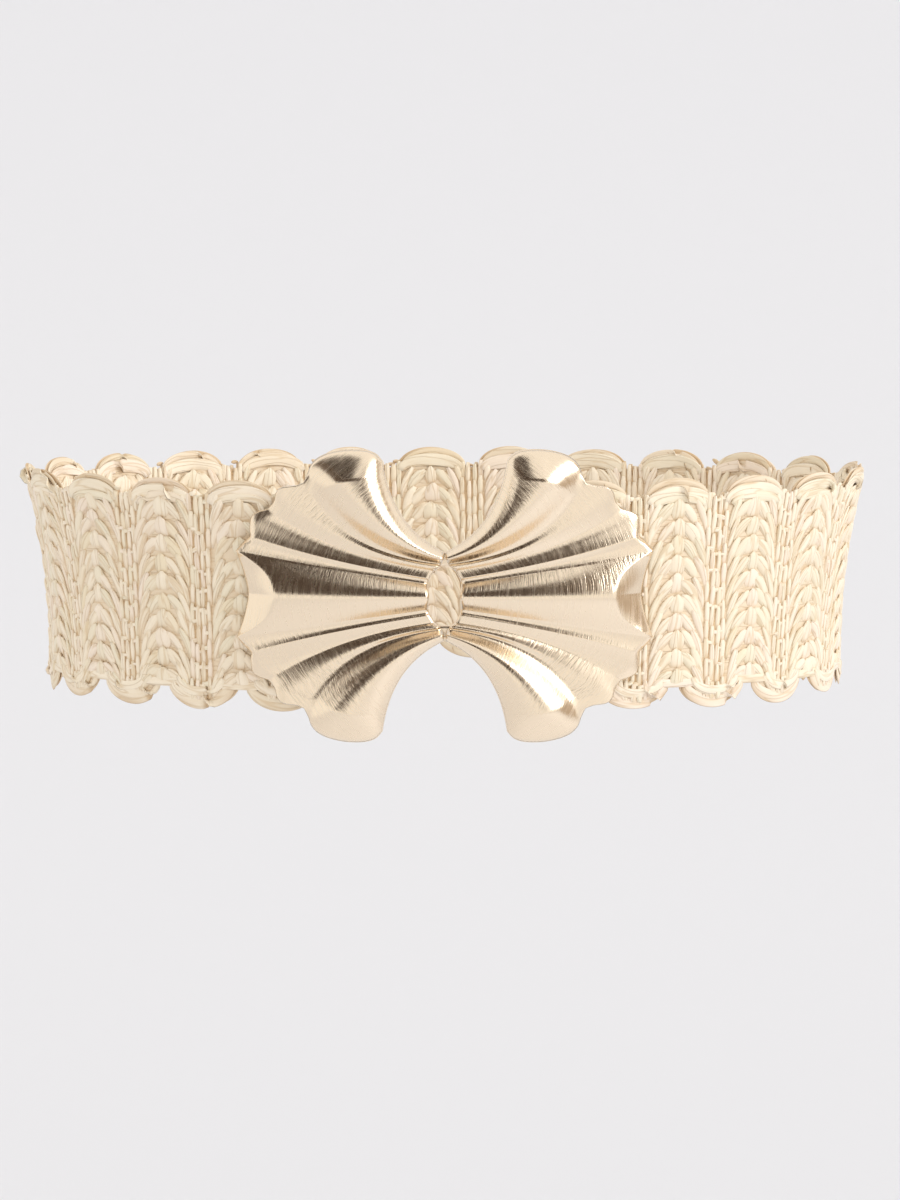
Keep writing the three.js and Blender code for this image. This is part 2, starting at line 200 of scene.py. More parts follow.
def direction(azimuth: np.ndarray, elevation: np.ndarray) -> np.ndarray:
    """Direction from the object, with the azimuth counted from the camera's side towards +X, in radians."""
    azimuth, elevation = np.broadcast_arrays(azimuth, elevation)
    level = np.cos(elevation)
    return np.stack([np.sin(azimuth) * level, -np.cos(azimuth) * level, np.sin(elevation)], axis=-1)


@dataclass
class Waist:
    """The oval that the inside of the band follows, and how the band's edges lean out at the sides."""

    width: float = 236.0
    depth: float = 168.0
    flare_top: float = 5.2
    flare_bottom: float = -1.2
    flare_height: float = 27.8
    samples: int = 2881
    turns: np.ndarray = field(init=False)
    lengths: np.ndarray = field(init=False)

    def __post_init__(self) -> None:
        """Measures the oval from the middle of the front, counter-clockwise from above."""
        self.turns = np.linspace(-math.pi / 2, 1.5 * math.pi, self.samples)
        x = self.width / 2 * np.cos(self.turns)
        y = self.depth / 2 * np.sin(self.turns)
        self.lengths = np.concatenate([[0], np.cumsum(np.hypot(np.diff(x), np.diff(y)))])

    @property
    def length(self) -> float:
        """Length once round the waist."""
        return float(self.lengths[-1])

    @property
    def front(self) -> float:
        """Y of the waist in the middle of the front."""
        return -self.depth / 2

    def place(self, along: np.ndarray, out: np.ndarray, height: np.ndarray) -> np.ndarray:
        """Points of the frame at places of the band.

        The oval's normal carries the distance out. The lean is a parabola through both edges, times the
        square of the normal's sideways part.

        Args:
            along: length along the waist.
            out: distance out from it.
            height: height over the middle of the band.

        Returns:
            Points in millimetres, with X, Y and Z on the last axis.
        """
        along, out, height = np.broadcast_arrays(along, out, height)
        turn = np.interp(np.mod(along, self.length), self.lengths, self.turns)
        normal = unit(np.stack([self.depth * np.cos(turn), self.width * np.sin(turn)], axis=-1))
        share = height / self.flare_height
        flare = share * (self.flare_top - self.flare_bottom) / 2
        flare = flare + share**2 * (self.flare_top + self.flare_bottom) / 2
        reach = out + flare * normal[..., 0] ** 2
        x = self.width / 2 * np.cos(turn) + normal[..., 0] * reach
        y = self.depth / 2 * np.sin(turn) + normal[..., 1] * reach
        return np.stack([x, y, height], axis=-1)


@dataclass
class Skin:
    """A mesh in the making: points in millimetres, faces between them, and two triples of values per point.

    The pattern holds where a point lies on its strand or sheet, in millimetres. The tone holds what tints it:
    a draw per strand, how much painted shade it takes for lying deep, and a share that each finish uses in
    its own way.
    """

    points: list[np.ndarray] = field(default_factory=list)
    faces: list[np.ndarray] = field(default_factory=list)
    pattern: list[np.ndarray] = field(default_factory=list)
    tone: list[np.ndarray] = field(default_factory=list)
    count: int = 0

    def add(self, points: np.ndarray, faces: list[np.ndarray], pattern: np.ndarray, tone: np.ndarray) -> None:
        """Adds points with their values and the faces between them.

        Args:
            points: the new points, with X, Y and Z on the last axis.
            faces: arrays of point numbers, counted from the first new point, a row for each face.
            pattern: a triple for each point.
            tone: a triple for each point.
        """
        self.points.append(points.reshape(-1, 3))
        self.faces += [part.reshape(-1, part.shape[-1]) + self.count for part in faces]
        self.pattern.append(np.broadcast_to(pattern, points.shape).reshape(-1, 3))
        self.tone.append(np.broadcast_to(tone, points.shape).reshape(-1, 3))
        self.count += points.size // 3

    def add_tubes(self, tubes: np.ndarray, pattern: np.ndarray, tone: np.ndarray, loop: bool = False) -> None:
        """Adds tubes made of rings, each shut at both ends by triangles round the middle of its last ring.

        Args:
            tubes: points of shape (tubes, rings, sides, 3).
            pattern: triples that fit that shape.
            tone: triples that fit that shape.
            loop: whether each tube's last ring joins its first, with no ends.
        """
        count, rings, sides, _ = tubes.shape
        here = np.arange(rings * sides).reshape(rings, sides)
        beside = np.roll(here, -1, axis=1)
        first = here if loop else here[:-1]
        after = np.roll(here, -1, axis=0)[: len(first)]
        corners = [first, beside[: len(first)], np.roll(after, -1, axis=1), after]
        quads = np.stack(corners, axis=-1).reshape(-1, 4)
        start = np.stack([beside[0], here[0], np.full(sides, rings * sides)], axis=-1)
        end = np.stack([here[-1], beside[-1], np.full(sides, rings * sides + 1)], axis=-1)
        parts = [np.broadcast_to(part, tubes.shape) for part in (tubes, pattern, tone)]
        joined = [part.reshape(count, -1, 3) for part in parts]
        if not loop:
            middles = [part[:, [0, -1]].mean(axis=2) for part in parts]
            joined = [np.concatenate(pair, axis=1) for pair in zip(joined, middles, strict=True)]
        # A tube whose faces enclose a negative volume is inside out, and its faces are turned round
        local = joined[0] - joined[0].mean(axis=1, keepdims=True)
        a, b, c, d = (local[:, quads[:, corner]] for corner in range(4))
        volume = (a * np.cross(b, c) + a * np.cross(c, d)).sum(axis=(1, 2))
        turned = (volume < 0)[:, None, None]
        shift = np.arange(count)[:, None, None] * joined[0].shape[1]
        kinds = [quads] if loop else [quads, np.concatenate([start, end])]
        faces = [np.where(turned, part[:, ::-1], part) + shift for part in kinds]
        self.add(joined[0], faces, joined[1], joined[2])

    def to_object(self, name: str, material: bpy.types.Material) -> bpy.types.Object:
        """Makes the smooth-shaded mesh object, in metres, with its object at the origin.

        Args:
            name: name of the object and its mesh.
            material: its one material.

        Returns:
            The object, linked to the scene.
        """
        mesh = bpy.data.meshes.new(name)
        points = (np.concatenate(self.points) * MM).astype(np.float32)
        sizes = np.concatenate([np.full(len(part), part.shape[1]) for part in self.faces])
        corners = np.concatenate([part.ravel() for part in self.faces])
        mesh.vertices.add(len(points))
        mesh.vertices.foreach_set("co", points.ravel())
        mesh.loops.add(len(corners))
        mesh.loops.foreach_set("vertex_index", corners.astype(np.int32))
        mesh.polygons.add(len(sizes))
        mesh.polygons.foreach_set("loop_start", (np.cumsum(sizes) - sizes).astype(np.int32))
        for key, parts in zip(VALUES, (self.pattern, self.tone), strict=True):
            values = mesh.attributes.new(key, "FLOAT_VECTOR", "POINT")
            values.data.foreach_set("vector", np.concatenate(parts).astype(np.float32).ravel())
        mesh.update(calc_edges=True)
        mesh.validate()
        mesh.shade_smooth()
        mesh.materials.append(material)
        made = bpy.data.objects.new(name, mesh)
        bpy.context.scene.collection.objects.link(made)
        log.info("%s: %d triangles", name, int((sizes - 2).sum()))
        return made


@dataclass(frozen=True)
class RaffiaFinish:
    """Natural raffia, split into flat ribbon and crocheted: matt ivory strands with fine lengthwise fibres, a
    slightly different straw tint from stitch to stitch, and painted shade: warm tan where a strand lies deep,
    darker along creases."""

    # Straw tints from stitch to stitch, how far a fibre takes on its own tint, and how far painted shade
    # darkens a crease or a deep place
    tints: tuple[str, ...] = ("ECE1C8", "F2E4CD", "F5E8D2", "F3E3D1", "EEDFC2")
    tint_places: tuple[float, ...] = (0.0, 0.3, 0.55, 0.8, 1.0)
    fibre_tint: str = "DFC8A0"
    fibre_share: float = 0.24
    crease_shade_tint: str = "C9A672"
    crease_shade_share: float = 0.4
    crevice_shade_tint: str = "CAA87B"
    crevice_shade_share: float = 0.85

    # Fibres of about 0.1 mm, drawn three times as wide so that they show, and the creases where a strip folds
    fibre_width: float = 0.34
    fibre_length: float = 7.0
    fibre_depth: float = 0.022
    fibre_range: tuple[float, float] = (0.35, 0.75)
    crease_width: float = 1.9
    crease_length: float = 18.0
    crease_depth: float = 0.1
    crease_band: float = 0.05

    # Dry plant fibre: no shine to speak of, and a faint sheen at glancing angles
    roughness: float = 0.62
    sheen: float = 0.12
    ior: float = 1.5

    def material(self, name: str) -> bpy.types.Material:
        """Makes the material: a tint drawn per stitch, fibres along it, and painted shade along its creases
        and where it lies deep.

        Args:
            name: name of the material.

        Returns:
            The material.
        """
        made, tree = new_material(name)
        pattern, tones = read_values(tree)
        tint = add_node(
            tree, "ShaderNodeValToRGB", {0: tones.outputs["X"]},
            {place: linear(colour) for place, colour in zip(self.tint_places, self.tints, strict=True)},
        )
        fibres = streaks(tree, pattern, (self.fibre_width, self.fibre_length), 2.0)
        creases = streaks(tree, pattern, (self.crease_width, self.crease_length), 1.0)
        # A crease runs where the slow noise crosses its middle value; there it is dented by the bump and
        # darkened with painted shade
        line = add_node(
            tree, "ShaderNodeValToRGB", {0: creases},
            {0.5 - self.crease_band: (1, 1, 1, 1), 0.5: (0, 0, 0, 1), 0.5 + self.crease_band: (1, 1, 1, 1)},
        )
        streak = add_node(
            tree, "ShaderNodeMapRange",
            {"Value": fibres, "From Min": self.fibre_range[0], "From Max": self.fibre_range[1],
             "To Max": self.fibre_share},
        )
        lined = add_node(
            tree, "ShaderNodeMapRange",
            {"Value": line.outputs[0], "From Min": 1.0, "From Max": 0.0, "To Max": self.crease_shade_share},
        )
        # Painted shade: the deeper a strand lies, the further it is tinted towards the crevice shade colour
        depth = add_node(
            tree, "ShaderNodeMapRange", {"Value": tones.outputs["Y"], "To Max": self.crevice_shade_share},
            interpolation_type="SMOOTHSTEP",
        )
        fibred = tinted(tree, tint.outputs[0], streak.outputs[0], self.fibre_tint)
        # Painted shade along the creases
        folded = tinted(tree, fibred, lined.outputs[0], self.crease_shade_tint)
        coloured = tinted(tree, folded, depth.outputs[0], self.crevice_shade_tint)
        fine = add_node(
            tree, "ShaderNodeBump",
            {"Height": fibres, "Distance": self.fibre_depth * MM, "Strength": 1.0},
        )
        creased = add_node(
            tree, "ShaderNodeBump",
            {"Height": line.outputs[0], "Distance": self.crease_depth * MM, "Strength": 1.0,
             "Normal": fine.outputs[0]},
        )
        shader = add_node(
            tree, "ShaderNodeBsdfPrincipled",
            {"Base Color": coloured, "Roughness": self.roughness, "Sheen Weight": self.sheen, "IOR": self.ior,
             "Normal": creased.outputs[0]},
        )
        add_node(tree, "ShaderNodeOutputMaterial", {"Surface": shader.outputs[0]})
        return made


@dataclass(frozen=True)
class GoldFinish:
    """Pale champagne gold plating on a zinc casting, brushed by hand across the lobes: hairlines that fray
    every reflection sideways, with the bevelled ends left smoother."""

    colour: str = "F3E1C8"

    # Real brush lines are under 0.1 mm wide: both sizes of hairline are drawn coarser so that they show
    hairline_width: float = 0.36
    hairline_length: float = 4.5
    scratch_width: float = 0.9
    scratch_length: float = 9.0
    depth: float = 0.064
    wave_length: float = 14.0
    wave_height: float = 1.2

    # A soft satin gloss that changes from scratch to scratch
    roughness: float = 0.175
    roughness_spread: float = 0.135
    scratch_range: tuple[float, float] = (0.3, 0.7)

    def material(self, name: str) -> bpy.types.Material:
        """Makes the material: two sizes of hairline in its bump and its roughness.

        Args:
            name: name of the material.

        Returns:
            The material.
        """
        made, tree = new_material(name)
        pattern, tones = read_values(tree)
        # Slow waves from 0 to twice their height bend the hairlines
        waves = add_node(
            tree, "ShaderNodeTexNoise", {"Vector": pattern, "Scale": 1 / self.wave_length, "Detail": 0.0}
        )
        double = 2 * self.wave_height
        bent = add_node(
            tree, "ShaderNodeVectorMath", {0: waves.outputs["Color"], 1: (double, double, 0), 2: pattern},
            operation="MULTIPLY_ADD",
        )
        hairlines = streaks(tree, bent.outputs[0], (self.hairline_length, self.hairline_width), 2.0)
        scratches = streaks(tree, bent.outputs[0], (self.scratch_length, self.scratch_width), 2.0)
        both = add_node(tree, "ShaderNodeMath", {0: hairlines, 1: scratches}, operation="ADD")
        rough = add_node(
            tree, "ShaderNodeMapRange",
            {"Value": scratches, "From Min": self.scratch_range[0], "From Max": self.scratch_range[1],
             "To Min": self.roughness, "To Max": self.roughness + self.roughness_spread},
        )
        bump = add_node(
            tree, "ShaderNodeBump",
            {"Height": both.outputs[0], "Distance": self.depth * MM, "Strength": tones.outputs["Z"]},
        )
        shader = add_node(
            tree, "ShaderNodeBsdfPrincipled",
            {"Base Color": linear(self.colour), "Metallic": 1.0, "Roughness": rough.outputs[0],
             "Normal": bump.outputs[0]},
        )
        add_node(tree, "ShaderNodeOutputMaterial", {"Surface": shader.outputs[0]})
        return made


@dataclass
class Strands:
    """Stitches as flat tubes along lines of the band: their lines, widths, thicknesses and tilts."""

    waist: Waist
    rng: np.random.Generator
    sides: int = 8
    squareness: float = 0.55
    draw_offset: float = 97.0
    strand_offset: float = 13.0

    def add_to(
        self, skin: Skin, lines: np.ndarray, width: np.ndarray, thick: np.ndarray, tilt: np.ndarray,
        deep: float, high: float,
    ) -> None:
        """Adds flat tubes to a skin.

        A ring's point lies at the line, plus half the width times a power of the cosine along the side of the
        line, plus half the thickness times a power of the sine outwards, both turned by the tilt.

        Args:
            skin: the skin they go into.
            lines: places along the waist, height and out, on the last axis, of shape (tubes, rings, 3).
            width: width for each ring.
            thick: thickness for each ring.
            tilt: turn about the line for each ring, in radians.
            deep: distance out at which a strand takes the full painted shade.
            high: distance out at which it takes no painted shade.
        """
        count, rings, _ = lines.shape
        shape = (count, rings)
        width, thick, tilt = (np.broadcast_to(part, shape)[..., None] for part in (width, thick, tilt))
        along = unit(np.gradient(lines[..., :2], axis=1))
        beside = np.stack([-along[..., 1], along[..., 0]], axis=-1)
        turn = 2 * math.pi * np.arange(self.sides) / self.sides
        cosine, sine = np.cos(turn), np.sin(turn)
        across = width / 2 * powered(cosine, self.squareness)
        up = thick / 2 * powered(sine, self.squareness)
        level = across * np.sin(tilt) + up * np.cos(tilt)
        spread = across * np.cos(tilt) - up * np.sin(tilt)
        places = lines[:, :, None, :2] + beside[:, :, None] * spread[..., None]
        out = lines[:, :, None, 2] + level
        points = self.waist.place(places[..., 0], out, places[..., 1])
        walked = lengths_along(lines, 1)[..., None]
        draw = self.rng.random((count, 1, 1))
        # Painted shade: the nearer a point lies to the wall, the more shade it takes, up to the full shade at
        # deep
        depth = np.clip((high - out) / (high - deep), 0, 1)
        zero = np.zeros_like(out)
        # Each strand takes its fibres from another part of the noise
        offset = self.draw_offset * draw + self.strand_offset * np.arange(count).reshape(count, 1, 1)
        pattern = np.stack([across + zero, walked + zero + offset, zero + offset], axis=-1)
        tone = np.stack([draw + zero, depth, zero], axis=-1)
        skin.add_tubes(points, pattern, tone)


@dataclass(frozen=True)
class Stray:
    """How far the stitches of a kind stray from their regular places, as standard deviations: in millimetres,
    and of the width as a share of it."""

    along: float
    height: float
    width: float
    level: float = 0.05
    lean: float = 0.0


@dataclass(frozen=True)
class Arc:
    """A flat ribbon that lies in an arc along an edge, once for every fan or for every rib column.

    The span is a share of the pitch, and the other lengths are in millimetres. The foot is how far its ends
    lie inwards of the edge, and the rise how far its middle stands out from them. The width is that of the
    ends and what the middle has more. The level counts from the wall's other face, the twist is the share of
    the ribbons with a half turn, each stray names its row of draws first, and the shift is a stray along the
    edge.
    """

    face: Face
    top: bool
    at_rib: bool
    span: float
    foot: float
    rise: float
    wide: tuple[float, float]
    level: float
    twist: float
    foot_stray: tuple[int, float] = (0, 0.0)
    rise_stray: tuple[int, float] = (0, 0.0)
    width_stray: tuple[int, float] = (0, 0.0)
    shift: float = 0.0


ARC_DRAWS = 12
ARCS = (
    # Outer face, top edge: a rim ribbon, a wide one in front of it and a narrow one at their foot
    Arc(Face.OUTER, True, False, 0.7488, 1.2, 5.1, (1.265, 1.035), 1.5, 0.4, rise_stray=(0, 0.2)),
    Arc(Face.OUTER, True, False, 0.7344, 2.3, 3.5, (2.3, 2.4), 2.1, 0.45,
        rise_stray=(1, 0.35), width_stray=(2, 0.1)),
    Arc(Face.OUTER, True, False, 0.6192, 3.0, 1.8, (1.4, 1.0), 2.3, 0.2,
        rise_stray=(3, 0.5), width_stray=(4, 0.15)),
    # Bottom edge: a deep arc under every rib, a second fold across it, and a flat stretch under every fan
    Arc(Face.OUTER, False, True, 0.792, 1.9, 5.9, (2.0, 2.2), 1.7, 0.35,
        rise_stray=(5, 0.3), width_stray=(6, 0.08)),
    Arc(Face.OUTER, False, True, 0.576, 2.6, 3.8, (1.4, 1.5), 2.3, 0.5, rise_stray=(7, 0.4), shift=1.6),
    Arc(Face.OUTER, False, False, 0.56, 1.0, 0.0, (2.1, 0.5), 2.0, 0.2, foot_stray=(0, 0.15)),
    # Inner face: the same arcs more plainly
    Arc(Face.INNER, True, False, 0.7488, 1.5, 5.1, (1.56, 1.04), 1.6, 0.3, rise_stray=(0, 0.2)),
    Arc(Face.INNER, True, False, 0.7344, 2.2, 3.3, (2.6, 1.6), 2.1, 0.3,
        rise_stray=(8, 0.3), width_stray=(9, 0.1)),
    Arc(Face.INNER, False, True, 0.792, 2.2, 5.9, (2.2, 1.6), 1.7, 0.3, rise_stray=(5, 0.3)),
    Arc(Face.INNER, False, True, 0.648, 2.4, 3.3, (1.6, 1.4), 2.2, 0.3,
        rise_stray=(10, 0.3), width_stray=(11, 0.1)),
    Arc(Face.INNER, False, False, 0.56, 1.0, 0.0, (2.4, 0.3), 2.0, 0.2, foot_stray=(0, 0.15)),
)


@dataclass
class Band:
    """The crocheted band: rows of fans between rib columns, flat ribbon along both edges, and the elastic
    sheet behind the stitches, which shows in their gaps."""

    waist: Waist
    finish: RaffiaFinish
    height: float = 55.6
    wall: float = 2.4
    pitches: int = 20
    first_fan_right: float = 68.4
    first_fan_left: float = 59.6
    rise_top: float = 5.2
    rise_bottom: float = 6.2
    scallop_span: float = 0.72
    rod_place: float = 24.0
    rod_radius: float = 1.2
    rod_margin: float = 1.6
    gap: float = 0.35
    hem: float = 15.0
    seed: int = 11

    # Distances out from the middle of the wall at which a strand takes the full painted shade and at which it
    # takes none
    full_shade_level: float = 0.15
    no_shade_level: float = 1.05

    # Ground sheet behind the stitches: how far it stays inside the edges, its half thickness, how square its
    # section is upwards and outwards, its rings, and how much painted shade it takes behind a fan and behind
    # a rib
    core_inset: float = 1.3
    core_half: float = 0.6
    core_squareness: tuple[float, float] = (0.3, 0.6)
    core_sides: int = 40
    core_step: float = 0.9
    fold_rings: int = 16
    hem_rings: int = 8
    core_shade: tuple[float, float] = (0.4, 0.9)
    rib_side: float = 0.3
    rib_fade: float = 0.12

    # Fans: spacing of the arches, how far a leg runs sideways and down, and the sizes of its stitches
    row_spacing: float = 5.45
    first_row: float = 26.0
    rows_above: int = 2
    rows_below: int = 10
    leg_reach: float = 8.7
    leg_drop: float = 14.5
    leg_powers: tuple[float, float] = (1.5, 1.35)
    stitch_rings: int = 7
    inner_stitch_rings: int = 5
    stitch_thick: float = 1.05
    stitch_level: float = 1.95
    stitch_rise: float = 0.26
    leaf_tilt: float = 0.24
    leaf_sink: float = 0.12
    leaf_bow: float = 0.28
    leaf_swell: tuple[float, float] = (0.04, 0.5)
    leaf_end: float = 0.45
    share_stray: float = 0.02
    reach_stray: float = 0.035
    leaf_stray: Stray = Stray(along=0.26, height=0.42, width=0.1, lean=0.09)
    cap_width: float = 5.3
    cap_length: float = 6.8
    cap_overlap: float = 0.9
    cap_rise: float = 0.5
    cap_taper: float = 0.3
    cap_shoulder: float = 0.62
    cap_narrowing: float = 0.6
    cap_sway: float = 0.35
    cap_sink: float = 0.05
    cap_stray: Stray = Stray(along=0.25, height=0.35, width=0.11, level=0.06, lean=0.05)

    # The two stitches of a leg: start and end on it, greatest width, and width at the leg's foot
    leg_stitches: tuple[tuple[float, ...], ...] = ((0.45, 1.0, 3.05, 1.9), (0.09, 0.58, 3.9, 2.9))

    # How far the top ribbon covers the stitches, how far below the bottom edge the lowest legs may end, where
    # the lowest cap starts over that edge and how far it still comes down, and the share of a clipped stitch
    # that has to be left
    top_cover: float = 0.6
    cover_stray: float = 0.25
    foot_room: float = 3.2
    cap_foot: float = 1.2
    cap_foot_drop: float = 0.8
    kept_share: float = 0.55

    # Rib columns: places of the four strands beside the middle of the rib, their stitches and the ties
    strand_places: tuple[float, ...] = (-2.85, -0.95, 0.95, 2.85)
    strand_width: float = 1.64
    strand_thick: float = 1.0
    strand_swell: tuple[float, float] = (0.06, 0.3)
    strand_stray: Stray = Stray(along=0.14, height=0.3, width=0.08, lean=0.16)
    rib_spacing: float = 5.5
    rib_overlap: float = 0.9
    rib_level: float = 1.8
    rib_rise: float = 0.3
    rib_foot: float = 2.6
    rib_head: float = 0.4
    inner_lag: float = 0.25
    end_play: float = 0.3
    end_stray: float = 0.2
    tie_width: float = 1.2
    tie_thick: float = 0.8
    tie_rings: int = 6
    tie_reach: float = 0.3
    tie_level: float = 1.65
    tie_rise: float = 0.4
    tie_room: float = 1.0
    tie_stray: Stray = Stray(along=0.15, height=0.6, width=0.15, lean=0.6)
    tied_share: float = 0.8

    # Edge ribbon: thickness, rings, where a half turn may lie and how long it is as shares of it, its lean,
    # how much deeper than a strand it has to lie to take the full painted shade, and how it strays
    ribbon_thick: float = 0.5
    ribbon_rings: int = 25
    turn_reach: float = 0.36
    turn_share: float = 0.2
    ribbon_lean: float = 0.08
    ribbon_shade_offset: float = 0.3
    ribbon_stray: Stray = Stray(along=0.5, height=0.0, width=0.0, level=0.12, lean=0.14)

    rng: np.random.Generator = field(init=False)
    strands: Strands = field(init=False)

    def __post_init__(self) -> None:
        """Starts the draws."""
        self.rng = np.random.default_rng(self.seed)
        self.strands = Strands(self.waist, self.rng)

    @property
    def pitch(self) -> float:
        """Distance from fan to fan, which closes the loop between the first fan on each side."""
        return (self.waist.length - self.first_fan_right - self.first_fan_left) / self.pitches

    def from_fan(self, along: np.ndarray) -> np.ndarray:
        """Distance to the nearest fan's middle, as a share of the pitch: 0 at a fan, 0.5 at a rib column."""
        turns = (along - self.first_fan_right) / self.pitch
        return np.abs(turns - np.round(turns))

    def scallop(self, distance: np.ndarray, rise: float) -> np.ndarray:
        """A half ellipse over the scallop's span, and nothing beside it."""
        share = distance / (self.scallop_span / 2)
        return rise * np.sqrt(np.clip(1 - share**2, 0, 1))

    def top(self, along: np.ndarray) -> np.ndarray:
        """Height of the band's top edge."""
        return self.height / 2 + self.scallop(self.from_fan(along), self.rise_top)

    def bottom(self, along: np.ndarray) -> np.ndarray:
        """Height of the band's bottom edge."""
        return -self.height / 2 - self.scallop(0.5 - self.from_fan(along), self.rise_bottom)

    def inside(self, lines: np.ndarray) -> np.ndarray:
        """Which lines stay on the stretch between the two strap rods."""
        low = self.rod_place + self.rod_margin
        high = self.waist.length - low
        return ((lines[..., 0] > low) & (lines[..., 0] < high)).all(axis=1)

    def core(self) -> bpy.types.Object:
        """Makes the sheet behind the stitches, with its folds round the rods and its hems.

        Its middle line runs hem, half circle round the rod, round the waist, half circle, hem. Its section is
        a flat oval between the two edges, drawn in by a small inset.

        Returns:
            The sheet.
        """
        rod_out = -self.gap - self.rod_radius
        level = self.wall / 2
        fold = level - rod_out
        end = self.waist.length - self.rod_place
        hem = np.linspace(self.hem, 0, self.hem_rings, endpoint=False)
        turn = -math.pi / 2 - math.pi * np.linspace(0, 1, self.fold_rings, endpoint=False)
        main = np.arange(self.rod_place, end, self.core_step)
        start = np.concatenate([self.rod_place + hem, self.rod_place + fold * np.cos(turn)])
        start_out = np.concatenate([np.full(len(hem), rod_out - fold), rod_out + fold * np.sin(turn)])
        start_facing = np.concatenate(
            [np.tile([0, -1], (len(hem), 1)), np.stack([np.cos(turn), np.sin(turn)], axis=1)]
        )
        along = np.concatenate([start, main, self.waist.length - start[::-1]])
        out = np.concatenate([start_out, np.full(len(main), level), start_out[::-1]])
        facing = np.concatenate([start_facing, np.tile([0, 1], (len(main), 1)), start_facing[::-1] * (-1, 1)])
        around = 2 * math.pi * np.arange(self.core_sides) / self.core_sides
        tall = powered(np.sin(around), self.core_squareness[0])
        thin = self.core_half * powered(np.cos(around), self.core_squareness[1])
        low, high = self.bottom(along)[:, None] + self.core_inset, self.top(along)[:, None] - self.core_inset
        heights = mixed(low, high, (tall + 1) / 2)
        points = self.waist.place(
            along[:, None] + facing[:, :1] * thin, out[:, None] + facing[:, 1:] * thin, heights
        )
        walked = np.broadcast_to(lengths_along(points[:, :1], 0), heights.shape)
        pattern = np.stack([heights, walked, walked * 0], axis=-1)
        # Painted shade on the ground sheet, which lies deep behind the stitches: more behind a rib, where it
        # shows in the slots, than behind a fan
        rib_share = eased((self.from_fan(along) - self.rib_side) / self.rib_fade)[:, None]
        depth = mixed(*self.core_shade, rib_share) + walked * 0
        tone = np.stack([walked * 0 + 0.5, depth, walked * 0], axis=-1)
        skin = Skin()
        skin.add_tubes(points[None], pattern[None], tone[None])
        return skin.to_object("band_core", self.finish.material("raffia_woven_ground"))

    def leg(self, share: np.ndarray) -> tuple[np.ndarray, np.ndarray]:
        """An arch's leg: how far sideways and down it has come at a share of its way.

        Sideways it slows down like a power of what is left, and downwards it speeds up like a power of what
        it has run, so that it leaves the apex flat and ends upright beside the rib.

        Args:
            share: share of the way from the apex to the leg's foot.

        Returns:
            Sideways and downward distance.
        """
        aside, down = self.leg_powers
        return self.leg_reach * (1 - (1 - share) ** aside), self.leg_drop * share**down

    def rings(self, face: Face) -> int:
        """Number of rings of a stitch of a face."""
        return self.stitch_rings if face is Face.OUTER else self.inner_stitch_rings

    def leaves(self, start: float, end: float, width: float, foot: float, face: Face, skin: Skin) -> None:
        """Adds one stitch of both legs of every arch to a skin.

        A stitch follows its leg between two shares of the way. Its width swells like the square root of a
        sine and thins out towards the foot.

        Args:
            start: share of the leg where it starts.
            end: share of the leg where it ends.
            width: its greatest width.
            foot: its width at the foot of the leg.
            face: the face of the band it lies on.
            skin: the skin it goes into.
        """
        stray = self.leaf_stray
        fans = self.first_fan_right + self.pitch * np.arange(-1, self.pitches + 2)
        rows = self.first_row - self.row_spacing * np.arange(-self.rows_above, self.rows_below)
        fans, rows, sides = (part.ravel() for part in np.meshgrid(fans, rows, [-1.0, 1.0], indexing="ij"))
        count = len(fans)
        jitter = self.rng.normal(size=(6, count, 1))
        run = np.linspace(0, 1, self.rings(face))
        # A leg is clipped under the ribbon of the top edge and shortened towards the bottom edge
        ceiling = self.height / 2 - self.top_cover + self.cover_stray * jitter[0, :, 0]
        hidden = (np.clip(rows - ceiling, 0, None) / self.leg_drop) ** (1 / self.leg_powers[1])
        first = np.maximum(start, hidden)
        keep = first < mixed(start, end, self.kept_share)
        first = first[:, None]
        share = np.clip(first + (end - first) * run + self.share_stray * jitter[1], 0, 1)
        aside, down = self.leg(share)
        room = rows[:, None] + self.height / 2 + self.foot_room
        down = down * np.minimum(1, room / self.leg_drop)
        bow = self.leaf_bow * jitter[1] * np.sin(math.pi * run)
        aside = sides[:, None] * aside * (1 + self.reach_stray * jitter[2])
        along = fans[:, None] + aside + stray.along * jitter[3] + bow
        height = rows[:, None] - down + stray.height * jitter[4]
        swell = swollen(run, *self.leaf_swell)
        narrowed = mixed(width, foot, np.clip((share - start) / (1 - start), 0, 1))
        wide = narrowed * swell * (1 + stray.width * jitter[5])
        rise = self.stitch_rise * np.cos(math.pi * run) + stray.level * jitter[0] - self.leaf_sink * share
        level = self.wall / 2 + face.value * (self.stitch_level - self.wall / 2 + rise)
        lines = np.stack([along, height, level + 0 * along], axis=-1)[keep]
        tilt = (sides[:, None] * face.value * (self.leaf_tilt + stray.lean * jitter[2]) + 0 * wide)[keep]
        deep, high = self.levels(face)
        inside = self.inside(lines)
        thick = (self.stitch_thick * mixed(self.leaf_end, 1, swell) * np.ones_like(wide))[keep]
        self.strands.add_to(skin, lines[inside], wide[keep][inside], thick[inside], tilt[inside], deep, high)

    def caps(self, face: Face, skin: Skin) -> None:
        """Adds the stitch in the middle of every arch: a dome that hangs down from the apex and tucks its
        foot under the next one.

        Args:
            face: the face of the band they lie on.
            skin: the skin they go into.
        """
        stray = self.cap_stray
        fans = self.first_fan_right + self.pitch * np.arange(-1, self.pitches + 2)
        rows = self.first_row - self.row_spacing * np.arange(self.rows_below)
        fans, rows = (part.ravel() for part in np.meshgrid(fans, rows, indexing="ij"))
        jitter = self.rng.normal(size=(5, len(fans), 1))
        run = np.linspace(0, 1, self.rings(face))
        height = rows[:, None] + self.cap_overlap + stray.height * jitter[0] - self.cap_length * run
        height = np.maximum(height, -self.height / 2 + self.cap_foot - self.cap_foot_drop * run)
        along = fans[:, None] + stray.along * jitter[1] + self.cap_sway * jitter[2] * run
